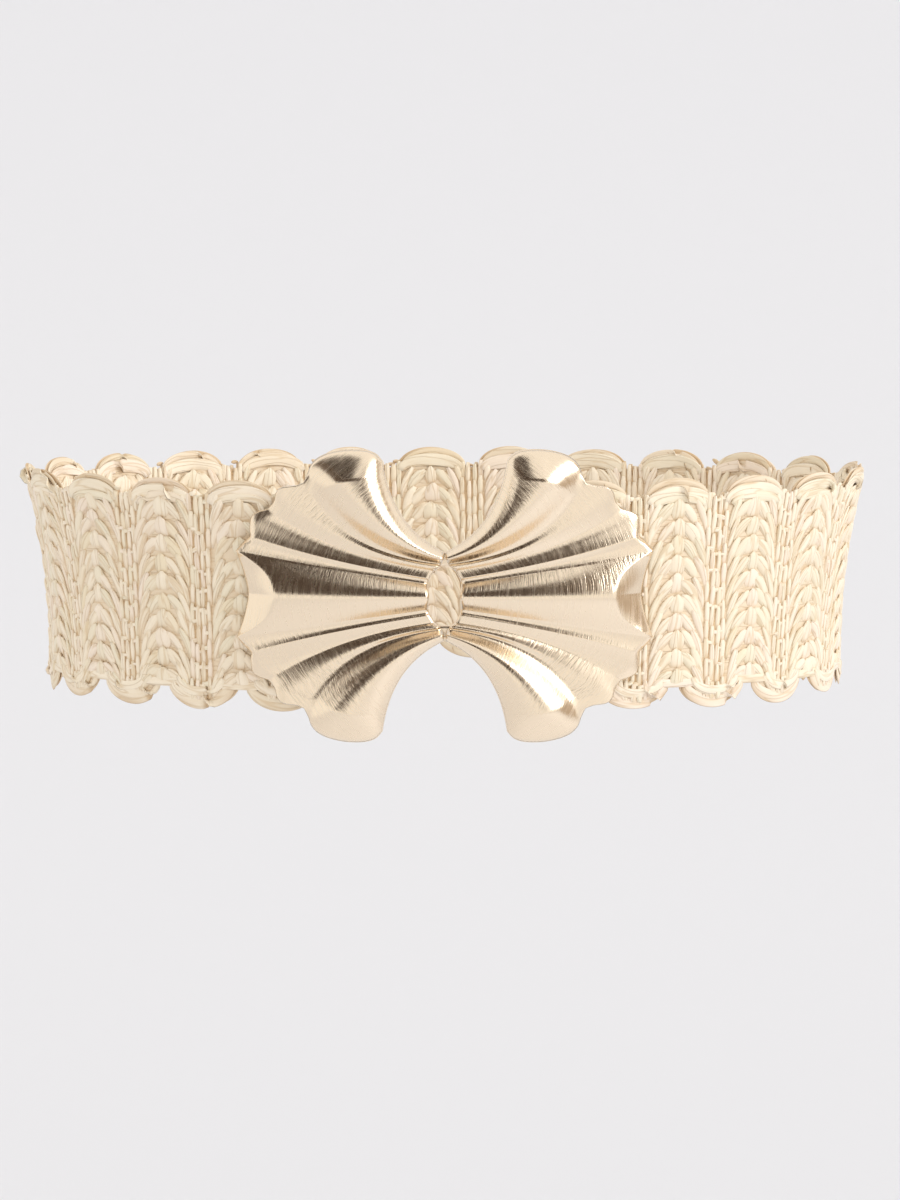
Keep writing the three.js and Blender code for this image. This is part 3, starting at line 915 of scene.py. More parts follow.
        # Half an ellipse widens the cap to its shoulders, and an eased step narrows it to its foot
        dome = np.sqrt(np.clip(1 - (1 - np.clip(run / self.cap_shoulder, 0, 1)) ** 2, 0.02, 1))
        taper = 1 - self.cap_taper * eased((run - self.cap_narrowing) / (1 - self.cap_narrowing))
        wide = self.cap_width * dome * taper * (1 + stray.width * jitter[3])
        rise = self.cap_rise * np.cos(math.pi * np.clip(run * 1.1 - 0.1, 0, 1))
        rise = rise - self.cap_sink + stray.level * jitter[4]
        level = self.wall / 2 + face.value * (self.stitch_level - self.wall / 2 + rise)
        lines = np.stack([along, height, level], axis=-1)
        deep, high = self.levels(face)
        inside = self.inside(lines)
        thick = self.stitch_thick * np.sqrt(np.clip(np.sin(math.pi * (run * 0.9 + 0.07)), 0.05, 1)) + 0 * wide
        tilt = stray.lean * jitter[2] + 0 * wide
        self.strands.add_to(skin, lines[inside], wide[inside], thick[inside], tilt[inside], deep, high)

    def levels(self, face: Face) -> tuple[float, float]:
        """Distances out at which a strand of a face takes the full painted shade and at which it takes none.
        """
        middle = self.wall / 2
        return middle + face.value * self.full_shade_level, middle + face.value * self.no_shade_level

    def fans(self, face: Face) -> bpy.types.Object:
        """Makes all the fans of one face: nested arches of a dome and two stitches down each leg.

        Args:
            face: the face of the band.

        Returns:
            The fans.
        """
        skin = Skin()
        for stitch in self.leg_stitches:
            self.leaves(*stitch, face, skin)
        self.caps(face, skin)
        name = "fans" if face is Face.OUTER else "fans_inside"
        return skin.to_object(name, self.finish.material("raffia_crochet"))

    def ribs(self, face: Face) -> bpy.types.Object:
        """Makes the rib columns of one face: four upright chains of long stitches, which leave slots between
        them;
        on the outer face short level ones tie most strands to the next one.

        Args:
            face: the face of the band.

        Returns:
            The ribs.
        """
        skin = Skin()
        stray = self.strand_stray
        ribs = self.first_fan_right + self.pitch * (np.arange(-2, self.pitches + 2) + 0.5)
        low = -self.height / 2 - self.rise_bottom + self.rib_foot
        high = self.height / 2 + self.rib_head
        count = int(round((high - low) / self.rib_spacing))
        spacing = (high - low) / count
        strand = np.array(self.strand_places)
        ribs, strand, number = (
            part.ravel() for part in np.meshgrid(ribs, strand, np.arange(count), indexing="ij")
        )
        jitter = self.rng.normal(size=(6, len(ribs), 1))
        # The inner strands start a quarter of a stitch lower than the outer ones
        lower = np.where(np.isclose(np.abs(strand), self.strand_places[-1]), 0.0, self.inner_lag)
        run = np.linspace(0, 1, self.rings(face))
        start = high - spacing * (number + lower)
        drop = self.rib_overlap - (spacing + 2 * self.rib_overlap) * run
        height = start[:, None] + stray.height * jitter[0] + drop
        ceiling = high + self.end_play + self.end_stray * jitter[1]
        height = np.clip(height, low - self.end_play, ceiling)
        along = (ribs + strand)[:, None] + stray.along * jitter[2] + stray.lean * jitter[3] * (run - 0.5)
        swell = swollen(run, *self.strand_swell)
        wide = self.strand_width * swell * (1 + stray.width * jitter[4])
        rise = self.rib_rise * np.cos(math.pi * run) + stray.level * jitter[5]
        level = self.wall / 2 + face.value * (self.rib_level - self.wall / 2 + rise)
        lines = np.stack([along, height, level], axis=-1)
        deep, top = self.levels(face)
        inside = self.inside(lines)
        thick = self.strand_thick * swell + 0 * wide
        self.strands.add_to(skin, lines[inside], wide[inside], thick[inside], 0.0, deep, top)
        if face is Face.OUTER:
            self.ties(skin, ribs, strand, start)
        name = "ribs" if face is Face.OUTER else "ribs_inside"
        return skin.to_object(name, self.finish.material("raffia_chain_stitch"))

    def ties(self, skin: Skin, ribs: np.ndarray, strand: np.ndarray, start: np.ndarray) -> None:
        """Adds the short level stitches that tie each strand to the next one.

        Args:
            skin: the skin they go into.
            ribs: place of the rib of each long stitch.
            strand: place of its strand beside the middle of the rib.
            start: height of its upper end.
        """
        gaps = np.diff(self.strand_places)[0]
        tied = (strand < self.strand_places[-1] - 0.1) & (self.rng.random(len(strand)) < self.tied_share)
        jitter = self.rng.normal(size=(4, int(tied.sum()), 1))
        stray = self.tie_stray
        run = np.linspace(-0.5, 0.5, self.tie_rings)
        along = (ribs + strand)[tied][:, None] + gaps / 2 + stray.along * jitter[0]
        along = along + (gaps + self.tie_reach) * run
        height = start[tied][:, None] + stray.height * jitter[1] + stray.lean * jitter[2] * run
        bow = np.sqrt(np.clip(1 - (1.9 * run) ** 2, 0.05, 1))
        level = self.tie_level + self.tie_rise * bow
        lines = np.stack([along, height, level + 0 * along], axis=-1)
        inside = self.inside(lines) & (height.mean(axis=1) > -self.height / 2 - self.tie_room)
        wide = self.tie_width * (1 + stray.width * jitter[3]) * bow
        thick = self.tie_thick * bow + 0 * wide
        deep, high = self.levels(Face.OUTER)
        self.strands.add_to(skin, lines[inside], wide[inside], thick[inside], 0.0, deep, high)

    def ribbon(
        self, skin: Skin, middles: np.ndarray, span: float, line: np.ndarray, width: np.ndarray,
        level: float, twist: float,
    ) -> None:
        """Adds one ribbon per scallop, laid along an arc, with a half turn where it is folded.

        Args:
            skin: the skin they go into.
            middles: place of the middle of each scallop.
            span: length from end to end.
            line: height for each step and scallop.
            width: width for each step and scallop.
            level: distance out of the ribbon's middle.
            twist: share of the ribbons that have a fold somewhere along them.
        """
        count, rings = line.shape
        stray = self.ribbon_stray
        jitter = self.rng.normal(size=(4, count, 1))
        run = np.linspace(-0.5, 0.5, rings)
        along = middles[:, None] + span * run + stray.along * jitter[0]
        fold = self.rng.uniform(-self.turn_reach, self.turn_reach, size=(count, 1))
        folded = self.rng.random((count, 1)) < twist
        turned = folded * math.pi * eased((run - fold) / self.turn_share + 0.5)
        lean = stray.lean * jitter[1] * np.sin(2 * math.pi * (run + fold))
        out = level + stray.level * jitter[2] * run
        lines = np.stack([along, line, out + 0 * along], axis=-1)
        inside = self.inside(lines)
        face = Face.OUTER if level > self.wall / 2 else Face.INNER
        deep, high = self.levels(face)
        # A ribbon takes the full painted shade only when it lies deeper than a strand would
        deep = deep - self.ribbon_shade_offset * face.value
        tilt = np.broadcast_to(turned + lean + self.ribbon_lean * face.value, line.shape)
        thick = np.full_like(width, self.ribbon_thick)
        self.strands.add_to(skin, lines[inside], width[inside], thick[inside], tilt[inside], deep, high)

    def edges(self) -> bpy.types.Object:
        """Makes the flat ribbon along both edges from the table of arcs.

        An arc is half an ellipse over its span, between its foot and its rise.

        Returns:
            The ribbons.
        """
        skin = Skin()
        fans = self.first_fan_right + self.pitch * np.arange(-1, self.pitches + 2)
        ribs = fans[:-1] + self.pitch / 2
        run = np.linspace(-0.5, 0.5, self.ribbon_rings)
        arch = np.sqrt(np.clip(1 - (2 * run) ** 2, 0, 1))
        jitter = self.rng.normal(size=(ARC_DRAWS, len(fans), 1))
        for arc in ARCS:
            middles = ribs if arc.at_rib else fans
            foot, rise, wide = (
                jitter[row][: len(middles)] * stray
                for row, stray in (arc.foot_stray, arc.rise_stray, arc.width_stray)
            )
            if arc.shift:
                middles = middles + arc.shift * self.rng.normal(size=len(middles))
            sign = 1 if arc.top else -1
            line = sign * (self.height / 2 - arc.foot + (arc.rise + rise) * arch) + foot
            width = (arc.wide[0] + arc.wide[1] * arch) * (1 + wide)
            level = arc.level if arc.face is Face.OUTER else self.wall - arc.level
            self.ribbon(skin, middles, arc.span * self.pitch, line, width, level, arc.twist)
        return skin.to_object("edge_ribbons", self.finish.material("raffia_flat_ribbon"))

    def build(self) -> None:
        """Builds every piece of the band and fits it to the frame in place of the plain solid."""
        made = [self.core(), self.edges()]
        for face in Face:
            made += [self.fans(face), self.ribs(face)]
        for piece in made:
            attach(piece, "root")
            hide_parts("raffia_band")


@dataclass(frozen=True)
class Fold:
    """A crest, edge or groove of the shell.

    It has the outline point it runs out to, where it starts at the eye and where it bends, as shares of
    reach and half height, its level at the eye, at its shoulder and at the outline (the lip), as shares of
    the rise, the share of its length at the shoulder, how round its end is, and whether the surface runs
    level into it from the inner side and out of it on the outer side.
    """

    point: float
    root: tuple[float, float]
    bend: tuple[float, float]
    start: float
    top: float
    shoulder: float
    lip: float
    roundness: float
    level_in: bool
    level_out: bool


FOLDS = (
    Fold(0, (0.072, 0.0), (0.5, 0.0), 0.62, 1.0, 0.815, 0.22, 0.0, True, True),
    Fold(3, (0.076, 0.088), (0.54, 0.19), 0.3, 0.54, 0.985, 0.3, 0.5, False, False),
    Fold(4, (0.073, 0.106), (0.53, 0.208), 0.28, 0.52, 0.98, 0.3, 0.3, True, True),
    Fold(5, (0.068, 0.126), (0.52, 0.228), 0.34, 0.543, 0.97, 0.34, 0.5, False, False),
    Fold(9, (0.047, 0.178), (0.49, 0.265), 0.3, 0.42, 0.95, 0.36, 0.6, True, False),
    Fold(12, (0.024, 0.206), (0.485, 0.286), 0.42, 0.52, 0.93, 0.52, 0.5, True, True),
    Fold(14, (0.012, 0.224), (0.48, 0.3), 0.3, 0.52, 0.94, 0.52, 0.5, True, True),
    Fold(18.5, (0.003, 0.262), (0.37, 0.417), 0.6, 1.2, 0.825, 0.24, 0.3, True, True),
    Fold(22, (0.0, 0.3), (0.25, 0.47), 0.3, 0.3, 0.9, 0.2, 1.0, False, False),
)

# Outline of a half from the middle of its outer edge to its top: shares of reach and of half height
OUTLINE = (
    (0.947, 0.0), (0.953, 0.072), (0.971, 0.18), (1.0, 0.297), (0.962, 0.355), (0.924, 0.401),
    (0.927, 0.464), (0.917, 0.534), (0.886, 0.564), (0.837, 0.585), (0.804, 0.64), (0.79, 0.701),
    (0.76, 0.738), (0.698, 0.75), (0.657, 0.77), (0.638, 0.831), (0.623, 0.896), (0.587, 0.947),
    (0.53, 0.98), (0.457, 0.998), (0.378, 0.996), (0.325, 0.972), (0.294, 0.925),
)
OUTLINE_CORNERS = (3, 5, 9, 14, 22)


@dataclass
class Shell:
    """One cast half of the clasp: a fan of lobes that runs out from the eye, hollow behind."""

    waist: Waist
    reach: float = 59.2
    half_height: float = 42.0
    rise: float = 7.6
    wall: float = 1.6
    rim_level: float = 3.4
    halves_gap: float = 0.7
    shoulder_turn: float = 4.0
    edge_radius: float = 0.45
    edge_angles: tuple[float, ...] = (30.0, 60.0, 90.0)
    foot_inset: float = 0.35
    foot_level: float = 0.3

    # Grid of the face, and how far the hollow keeps clear of its edges, in walls
    lines_per_point: int = 6
    steps_along: int = 46
    steps_end: int = 18
    keep_sides: float = 2.2
    keep_eye: float = 1.5
    keep_lip: float = 9.0
    least_level: float = 0.35

    # How deep the hairlines are on the bevelled ends and round the edge, where they fade, and how far the
    # patterns of the two halves lie from the middle of the noise
    end_brushed: float = 0.45
    end_fade: float = 0.15
    edge_brushed: float = 0.6
    pattern_offset: float = 31.0

    def outline(self, line: np.ndarray) -> np.ndarray:
        """Outline points of the upper half at lines from 0 to the last point, as shares.

        Between two points runs a cubic whose slopes are those of the chord through the neighbours, and at a
        corner those of the chord to the next point alone.

        Args:
            line: number of the outline point, with fractions between points.

        Returns:
            Share of the reach and share of the half height on the last axis.
        """
        points = np.array(OUTLINE)
        last = len(points) - 1
        mirrored = np.vstack([points[1] * (1, -1), points, 2 * points[-1] - points[-2]])
        chord = (mirrored[2:] - mirrored[:-2]) / 2
        leaving, arriving = chord.copy(), chord.copy()
        corners = list(OUTLINE_CORNERS)
        arriving[corners] = points[corners] - points[np.array(corners) - 1]
        inner = [corner for corner in corners if corner < last]
        leaving[inner] = points[np.array(inner) + 1] - points[inner]
        low = np.clip(np.floor(line).astype(int), 0, last - 1)
        t = (line - low)[..., None]
        return (
            (2 * t**3 - 3 * t**2 + 1) * points[low] + (t**3 - 2 * t**2 + t) * leaving[low]
            + (3 * t**2 - 2 * t**3) * points[low + 1] + (t**3 - t**2) * arriving[low + 1]
        )

    def fold(self, line: np.ndarray) -> dict[str, np.ndarray]:
        """The fold values at lines, between the two folds of the table beside each.

        Levels change like half a cosine wave between two folds that are level there, like a quarter of one
        where only one is, and evenly where none is. The shoulder keeps its place over a crest and turns late.

        Args:
            line: number of the outline point, at least 0.

        Returns:
            Root, bend, start, top, shoulder, lip and roundness at each line.
        """
        table = {key: np.array([getattr(f, key) for f in FOLDS]) for key in Fold.__dataclass_fields__}
        after = np.clip(np.searchsorted(table["point"], line - 1e-9), 1, len(FOLDS) - 1)
        before = after - 1
        t = (line - table["point"][before]) / (table["point"][after] - table["point"][before])
        away, near = table["level_out"][before], table["level_in"][after]
        one_level = np.where(away, 1 - np.cos(t * math.pi / 2), np.sin(t * math.pi / 2))
        rise = np.where(away & near, (1 - np.cos(t * math.pi)) / 2, np.where(away | near, one_level, t))
        outwards = table["shoulder"][before] < table["shoulder"][after]
        turn = np.where(outwards, t**self.shoulder_turn, 1 - (1 - t) ** self.shoulder_turn)
        shares = {"start": rise, "top": rise, "shoulder": turn, "lip": t, "roundness": t}
        found = {key: mixed(table[key][before], table[key][after], share) for key, share in shares.items()}
        for key in ("root", "bend"):
            found[key] = mixed(table[key][before], table[key][after], t[..., None])
        return found

    def surface(self, line: np.ndarray, step: np.ndarray) -> tuple[np.ndarray, np.ndarray, np.ndarray]:
        """The cast face as a function of two parameters.

        In plan each line is a quadratic curve from the eye through its bend to the outline. Its level follows
        a quarter of a sine up to the shoulder, at step 1, and falls from there to the lip, at step 2, between
        a straight bevel and a quarter circle, as its roundness says.

        Args:
            line: which line, with 0 in the middle and its sign for up or down.
            step: place along it.

        Returns:
            Reach from the middle of the clasp, height, and level over the rim.
        """
        line, step = np.broadcast_arrays(line, step)
        fold = self.fold(np.abs(line))
        end = np.clip(step - 1, 0, 1)
        t = (np.minimum(step, 1) * fold["shoulder"] + (1 - fold["shoulder"]) * end)[..., None]
        rim = self.outline(np.abs(line))
        plan = (1 - t) ** 2 * fold["root"] + 2 * t * (1 - t) * fold["bend"] + t**2 * rim
        climb = mixed(fold["start"], fold["top"], np.sin(np.minimum(step, 1) * math.pi / 2))
        fall = mixed(end, 1 - np.sqrt(np.clip(1 - end**2, 0, 1)), fold["roundness"])
        level = climb + (fold["lip"] - fold["top"]) * fall
        reach = self.halves_gap / 2 + plan[..., 0] * (self.reach - self.halves_gap / 2)
        return reach, np.sign(line) * plan[..., 1] * self.half_height, level * self.rise

    def level_over(self, reach: float, height: float, width: float, depth: float) -> float:
        """Lowest level of the cast face over a small rectangle.

        Args:
            reach: middle of the rectangle from the middle of the clasp.
            height: its middle's height.
            width: its width.
            depth: its height.

        Returns:
            The level over the rim.
        """
        top = len(OUTLINE) - 1
        lines, steps = np.linspace(0, top, 4 * top + 1)[:, None], np.linspace(0, 2, 101)[None]
        x, z, level = (part.ravel() for part in self.surface(lines, steps))
        spots = [(reach + a * width / 2, abs(height + b * depth / 2)) for a in (-1, 0, 1) for b in (-1, 0, 1)]
        return min(float(level[np.argmin(np.hypot(x - spot[0], z - spot[1]))]) for spot in spots)

    def border(self, shape: tuple[int, int]) -> tuple[np.ndarray, np.ndarray]:
        """Row and column numbers once round the edge of a grid."""
        rows, columns = shape
        down, right = np.arange(rows), np.arange(1, columns)
        up, left = down[-2::-1], right[-2::-1]
        i = np.concatenate([down, np.full(len(right), rows - 1), up, np.zeros(len(left), int)])
        j = np.concatenate([np.zeros(rows, int), right, np.full(len(up), columns - 1), left])
        return i, j

    def build(self, side: Side) -> Skin:
        """Makes the skin of one half: the cast face, its rounded edge, the rim behind and the hollow.

        The face and the hollow are grids of the same size. Between their borders run rings: three round the
        edge, one at the foot of the wall and one on the rim.

        Args:
            side: which half.

        Returns:
            The skin.
        """
        top = len(OUTLINE) - 1
        line = np.linspace(-top, top, 2 * top * self.lines_per_point + 1)[:, None]
        step = np.concatenate([
            np.linspace(0, 1, self.steps_along, endpoint=False), np.linspace(1, 2, self.steps_end + 1)
        ])[None]
        reach, height, level = self.surface(line, step)
        inset = self.wall / self.reach
        near = np.where(
            step <= 1, mixed(self.keep_eye * inset, 1, step), mixed(1, 2 - self.keep_lip * inset, step - 1)
        )
        in_reach, in_height, in_level = self.surface(line * (1 - self.keep_sides * inset), near)
        in_level = np.maximum(in_level - self.wall, self.least_level)
        i, j = self.border(reach.shape)
        loop = np.stack([reach[i, j], height[i, j]], axis=-1)
        run = unit(np.roll(loop, -1, axis=0) - np.roll(loop, 1, axis=0))
        outward = np.stack([run[:, 1], -run[:, 0]], axis=-1)
        if np.sum(outward * (loop - loop.mean(axis=0))) < 0:
            outward = -outward
        angles = np.radians(self.edge_angles)
        foot = [self.edge_radius, self.edge_radius - self.foot_inset]
        offsets = np.append(self.edge_radius * np.sin(angles), foot)
        edge_level = level[i, j]
        levels = [edge_level - self.edge_radius * (1 - np.cos(angle)) for angle in angles]
        levels += [0 * edge_level + self.foot_level, 0 * edge_level]
        rings = [
            (loop + outward * (offset - self.edge_radius / 2), ring_level)
            for offset, ring_level in zip(offsets, levels, strict=True)
        ]
        rings.append((np.stack([in_reach[i, j], in_height[i, j]], axis=-1), 0 * edge_level))
        rows, columns = reach.shape
        grid = np.arange(rows * columns).reshape(rows, columns)
        quads = np.stack([grid[:-1, :-1], grid[:-1, 1:], grid[1:, 1:], grid[1:, :-1]], axis=-1).reshape(-1, 4)
        around = len(i)
        base = 2 * rows * columns
        loops = [grid[i, j]] + [base + k * around + np.arange(around) for k in range(len(rings))]
        loops.append(rows * columns + grid[i, j])
        strips = [
            np.stack([a, np.roll(a, -1), np.roll(b, -1), b], axis=-1)
            for a, b in zip(loops, loops[1:], strict=False)
        ]
        faces = np.concatenate([quads, (quads + rows * columns)[:, ::-1], *strips])
        plan = np.concatenate([
            np.stack([reach, height], axis=-1).reshape(-1, 2),
            np.stack([in_reach, in_height], axis=-1).reshape(-1, 2), *(ring for ring, _ in rings)
        ])
        ring_levels = [ring_level for _, ring_level in rings]
        all_levels = np.concatenate([level.ravel(), in_level.ravel(), *ring_levels])
        points = self.waist.place(side.value * plan[:, 0], self.rim_level + all_levels, plan[:, 1])
        if side is Side.LEFT:
            faces = faces[:, ::-1]
        flat = np.stack([reach, height, level], axis=-1)
        across = lengths_along(flat, 0)
        across = across - across[rows // 2]
        brushed = mixed(1.0, self.end_brushed, eased((step - 1) / self.end_fade)) + 0 * reach
        offset = self.pattern_offset * side.value
        pattern = np.stack([across, lengths_along(flat, 1), 0 * reach + offset], axis=-1)
        tone = np.stack([0 * reach, 0 * reach, brushed], axis=-1)
        # The face and the hollow carry the same values, and every ring those of the border
        values = []
        for grid_values, edge_share in ((pattern, (1, 1, 1)), (tone, (1, 1, self.edge_brushed))):
            edge_values = grid_values[i, j] * edge_share
            both = [grid_values.reshape(-1, 3)] * 2
            values.append(np.concatenate([*both, *[edge_values] * len(rings)]))
        skin = Skin()
        skin.add(points, [faces], *values)
        return skin


@dataclass
class Clasp:
    """The clasp: two mirrored shells, each with a strap rod and a hook inside, and the link between."""

    waist: Waist
    finish: GoldFinish
    shell: Shell
    rod_place: float = 24.0
    rod_radius: float = 1.2
    rod_clear: float = 35.55
    rod_sides: int = 20
    rod_rings: int = 9
    post_width: float = 2.8
    post_height: float = 2.4
    gap: float = 0.35
    foot_cover: float = 0.5
    link_opening: tuple[float, float] = (16.8, 17.2)
    link_bar: float = 4.0
    link_thickness: float = 1.6
    link_bend: float = 2.5
    link_squareness: float = 0.35
    link_sides: int = 20
    corner_rings: int = 9
    hook_height: float = 6.0
    hook_thickness: float = 1.4
    hook_stem: float = 2.2
    hook_bend: float = 1.0
    bend_rings: int = 6
    bevel: float = 0.35
    bar_squareness: float = 0.32
    bar_sides: int = 24

    # The hidden parts are brushed less than the shells
    brushed: float = 0.35

    @property
    def link_front(self) -> float:
        """Distance out of the link's front, clear of the rims where they curve back with the waist."""
        outer = self.link_opening[0] / 2 + self.link_bar
        rim = self.waist.place(np.array(outer), np.array(self.shell.rim_level), np.array(0.0))
        return float(self.waist.front - rim[1]) - self.gap

    def bar(self, path: np.ndarray, wide: np.ndarray, thick: np.ndarray, axis: np.ndarray) -> np.ndarray:
        """A bar of rounded rectangular section along a path, with its ends drawn in by the bevel.

        Args:
            path: points in millimetres, one for each ring.
            wide: width along the axis, for each ring.
            thick: thickness across it, for each ring.
            axis: direction of the width.

        Returns:
            Rings of shape (1, rings, sides, 3).
        """
        ahead = unit(np.gradient(path, axis=0))
        beside = unit(np.cross(ahead, axis))
        turn = 2 * math.pi * (np.arange(self.bar_sides) + 0.5) / self.bar_sides
        u, v = powered(np.cos(turn), self.bar_squareness), powered(np.sin(turn), self.bar_squareness)
        shrink = np.zeros(len(path))
        shrink[[0, -1]] = self.bevel
        a = (wide / 2 - shrink)[:, None, None] * u[None, :, None] * axis
        b = (thick / 2 - shrink)[:, None, None] * v[None, :, None] * beside[:, None]
        return (path[:, None] + a + b)[None]

    def straight(self, start: np.ndarray, end: np.ndarray) -> np.ndarray:
        """Points of a straight path with an extra ring near each end for the bevel."""
        length = np.linalg.norm(end - start)
        near = self.bevel / length
        shares = np.array([0, near, 0.5, 1 - near, 1])[:, None]
        return start + (end - start) * shares

    def fitting(self, skin: Skin, rings: np.ndarray, side: Side) -> None:
        """Adds a fitting of the half at +X to the skin of a half, mirrored where it is the other one."""
        pattern = np.stack([rings[..., 2], rings[..., 0], rings[..., 1]], axis=-1)
        skin.add_tubes(rings * (side.value, 1, 1), pattern, np.array([0.0, 0.0, self.brushed]))

    def at(self, reach: float, out: float, height: float) -> np.ndarray:
        """A point in front of the waist: reach is X, and out counts from the waist's front."""
        return np.array([reach, self.waist.front - out, height])

    def hook(self) -> np.ndarray:
        """The hook: down from the middle lobe, behind the link's bar, and out again as a lip, on round bends.

        Returns:
            Its rings.
        """
        inner = self.link_opening[0] / 2
        back = self.link_front - self.link_thickness - self.gap - self.hook_thickness / 2
        stem = inner + self.link_bar + self.gap + self.hook_stem / 2
        lip = inner - self.gap - self.hook_thickness / 2
        level = self.shell.level_over(stem, 0, self.hook_stem, self.hook_height)
        rise = self.shell.rim_level + level - self.foot_cover
        bend = np.radians(np.linspace(0, 90, self.bend_rings))
        round_off, straight_off = self.hook_bend * (1 - np.cos(bend)), self.hook_bend * (1 - np.sin(bend))
        first = np.stack([stem - round_off, back + straight_off], axis=1)
        second = np.stack([lip + straight_off, back + round_off], axis=1)
        tip = self.link_front - self.gap
        ends = np.array([[lip, tip - self.bevel], [lip, tip]])
        plan = np.vstack([[stem, rise], [stem, rise - self.bevel], first, second, ends])
        path = np.stack([plan[:, 0], self.waist.front - plan[:, 1], 0 * plan[:, 0]], axis=1)
        # The stem is thicker than the tongue and the lip
        thick = np.full(len(path), self.hook_thickness)
        thick[:2] = self.hook_stem
        return self.bar(path, np.full(len(path), self.hook_height), thick, np.array([0.0, 0.0, 1.0]))

    def half(self, side: Side) -> bpy.types.Object:
        """Makes one half: the shell with its hook, strap rod and the rod's two posts.

        Args:
            side: which half.

        Returns:
            The half.
        """
        skin = self.shell.build(side)
        self.fitting(skin, self.hook(), side)
        middle = self.waist.place(
            np.array(self.rod_place), np.array(-self.gap - self.rod_radius), np.array(0.0)
        )
        turn = 2 * math.pi * np.arange(self.rod_sides) / self.rod_sides
        heights = np.linspace(-self.rod_clear, self.rod_clear, self.rod_rings)
        ring = np.stack([np.cos(turn), np.sin(turn), 0 * turn], axis=1) * self.rod_radius
        rod = middle + ring[None] + heights[:, None, None] * np.array([0, 0, 1])
        self.fitting(skin, rod[None], side)
        level = self.shell.level_over(self.rod_place, self.rod_clear, self.post_width, self.post_height)
        high = self.waist.place(
            np.array(self.rod_place), np.array(self.shell.rim_level + level - self.foot_cover), np.array(0.0)
        )
        for sign in (-1, 1):
            start = middle * (1, 1, 0) + (0, self.rod_radius, sign * self.rod_clear)
            end = np.array([middle[0], high[1], sign * self.rod_clear])
            path = self.straight(start, end)
            wide, thick = np.full(len(path), self.post_width), np.full(len(path), self.post_height)
            self.fitting(skin, self.bar(path, wide, thick, np.array([1.0, 0.0, 0.0])), side)
        return skin.to_object(f"shell_{side.name.lower()}", self.finish.material("brushed_champagne_gold"))

    def link(self) -> bpy.types.Object:
        """Makes the flat link: a rounded rectangular section carried round a rectangle with round corners.

        Returns:
            The link.
        """
        half = [(opening + self.link_bar) / 2 for opening in self.link_opening]
        radius = self.link_bend
        bend = np.radians(np.linspace(0, 90, self.corner_rings))
        corners = []
        for number, (x, z) in enumerate(((1, 1), (-1, 1), (-1, -1), (1, -1))):
            angle = bend + number * math.pi / 2
            centre = np.array([x * (half[0] - radius), z * (half[1] - radius)])
            corners.append(centre + radius * np.stack([np.cos(angle), np.sin(angle)], axis=1))
        plan = np.concatenate(corners)
        following, previous = np.roll(plan, -1, axis=0), np.roll(plan, 1, axis=0)
        ahead = unit(following - previous)
        beside = np.stack([ahead[:, 1], -ahead[:, 0]], axis=1)
        turn = 2 * math.pi * (np.arange(self.link_sides) + 0.5) / self.link_sides
        u = self.link_bar / 2 * powered(np.cos(turn), self.link_squareness)
        v = self.link_thickness / 2 * powered(np.sin(turn), self.link_squareness)
        place = plan[:, None] + beside[:, None] * u[None, :, None]
        out = self.link_front - self.link_thickness / 2 + v + 0 * place[..., 0]
        rings = np.stack([place[..., 0], self.waist.front - out, place[..., 1]], axis=-1)
        skin = Skin()
        skin.add_tubes(rings[None], rings[None], np.array([0.0, 0.0, self.brushed]), loop=True)
        return skin.to_object("link", self.finish.material("plain_champagne_gold"))

    def build(self) -> None:
        """Builds both halves and the link, and fits each to the frame in place of its plain solid."""
        made = {f"buckle_{side.name.lower()}": self.half(side) for side in Side}
        made["catch_loop"] = self.link()
        for node, piece in made.items():
            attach(piece, "root")
            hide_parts(node)


@dataclass(frozen=True)
class Card:
    """A dark patch of a sphere round the object that only reflections see: its two ends as azimuths from the
    camera's side towards +X, its two ends as elevations, in degrees, and its colour."""

    turn: tuple[float, float]
    rise: tuple[float, float]
    colour: str


CARDS = {
    "dark_card": Card((-60, 28), (5.5, 49), "483B31"),
    "left_card": Card((-88, -60), (26, 50), "5A4B3F"),
    "right_card": Card((28, 43), (17, 50), "9A8875"),
    "high_card": Card((-85, -4), (50, 76), "3A2E27"),
    "side_card": Card((76, 106), (-14, 13), "BBA995"),
    "far_side_card": Card((89, 108), (13, 38), "BBA995"),
}


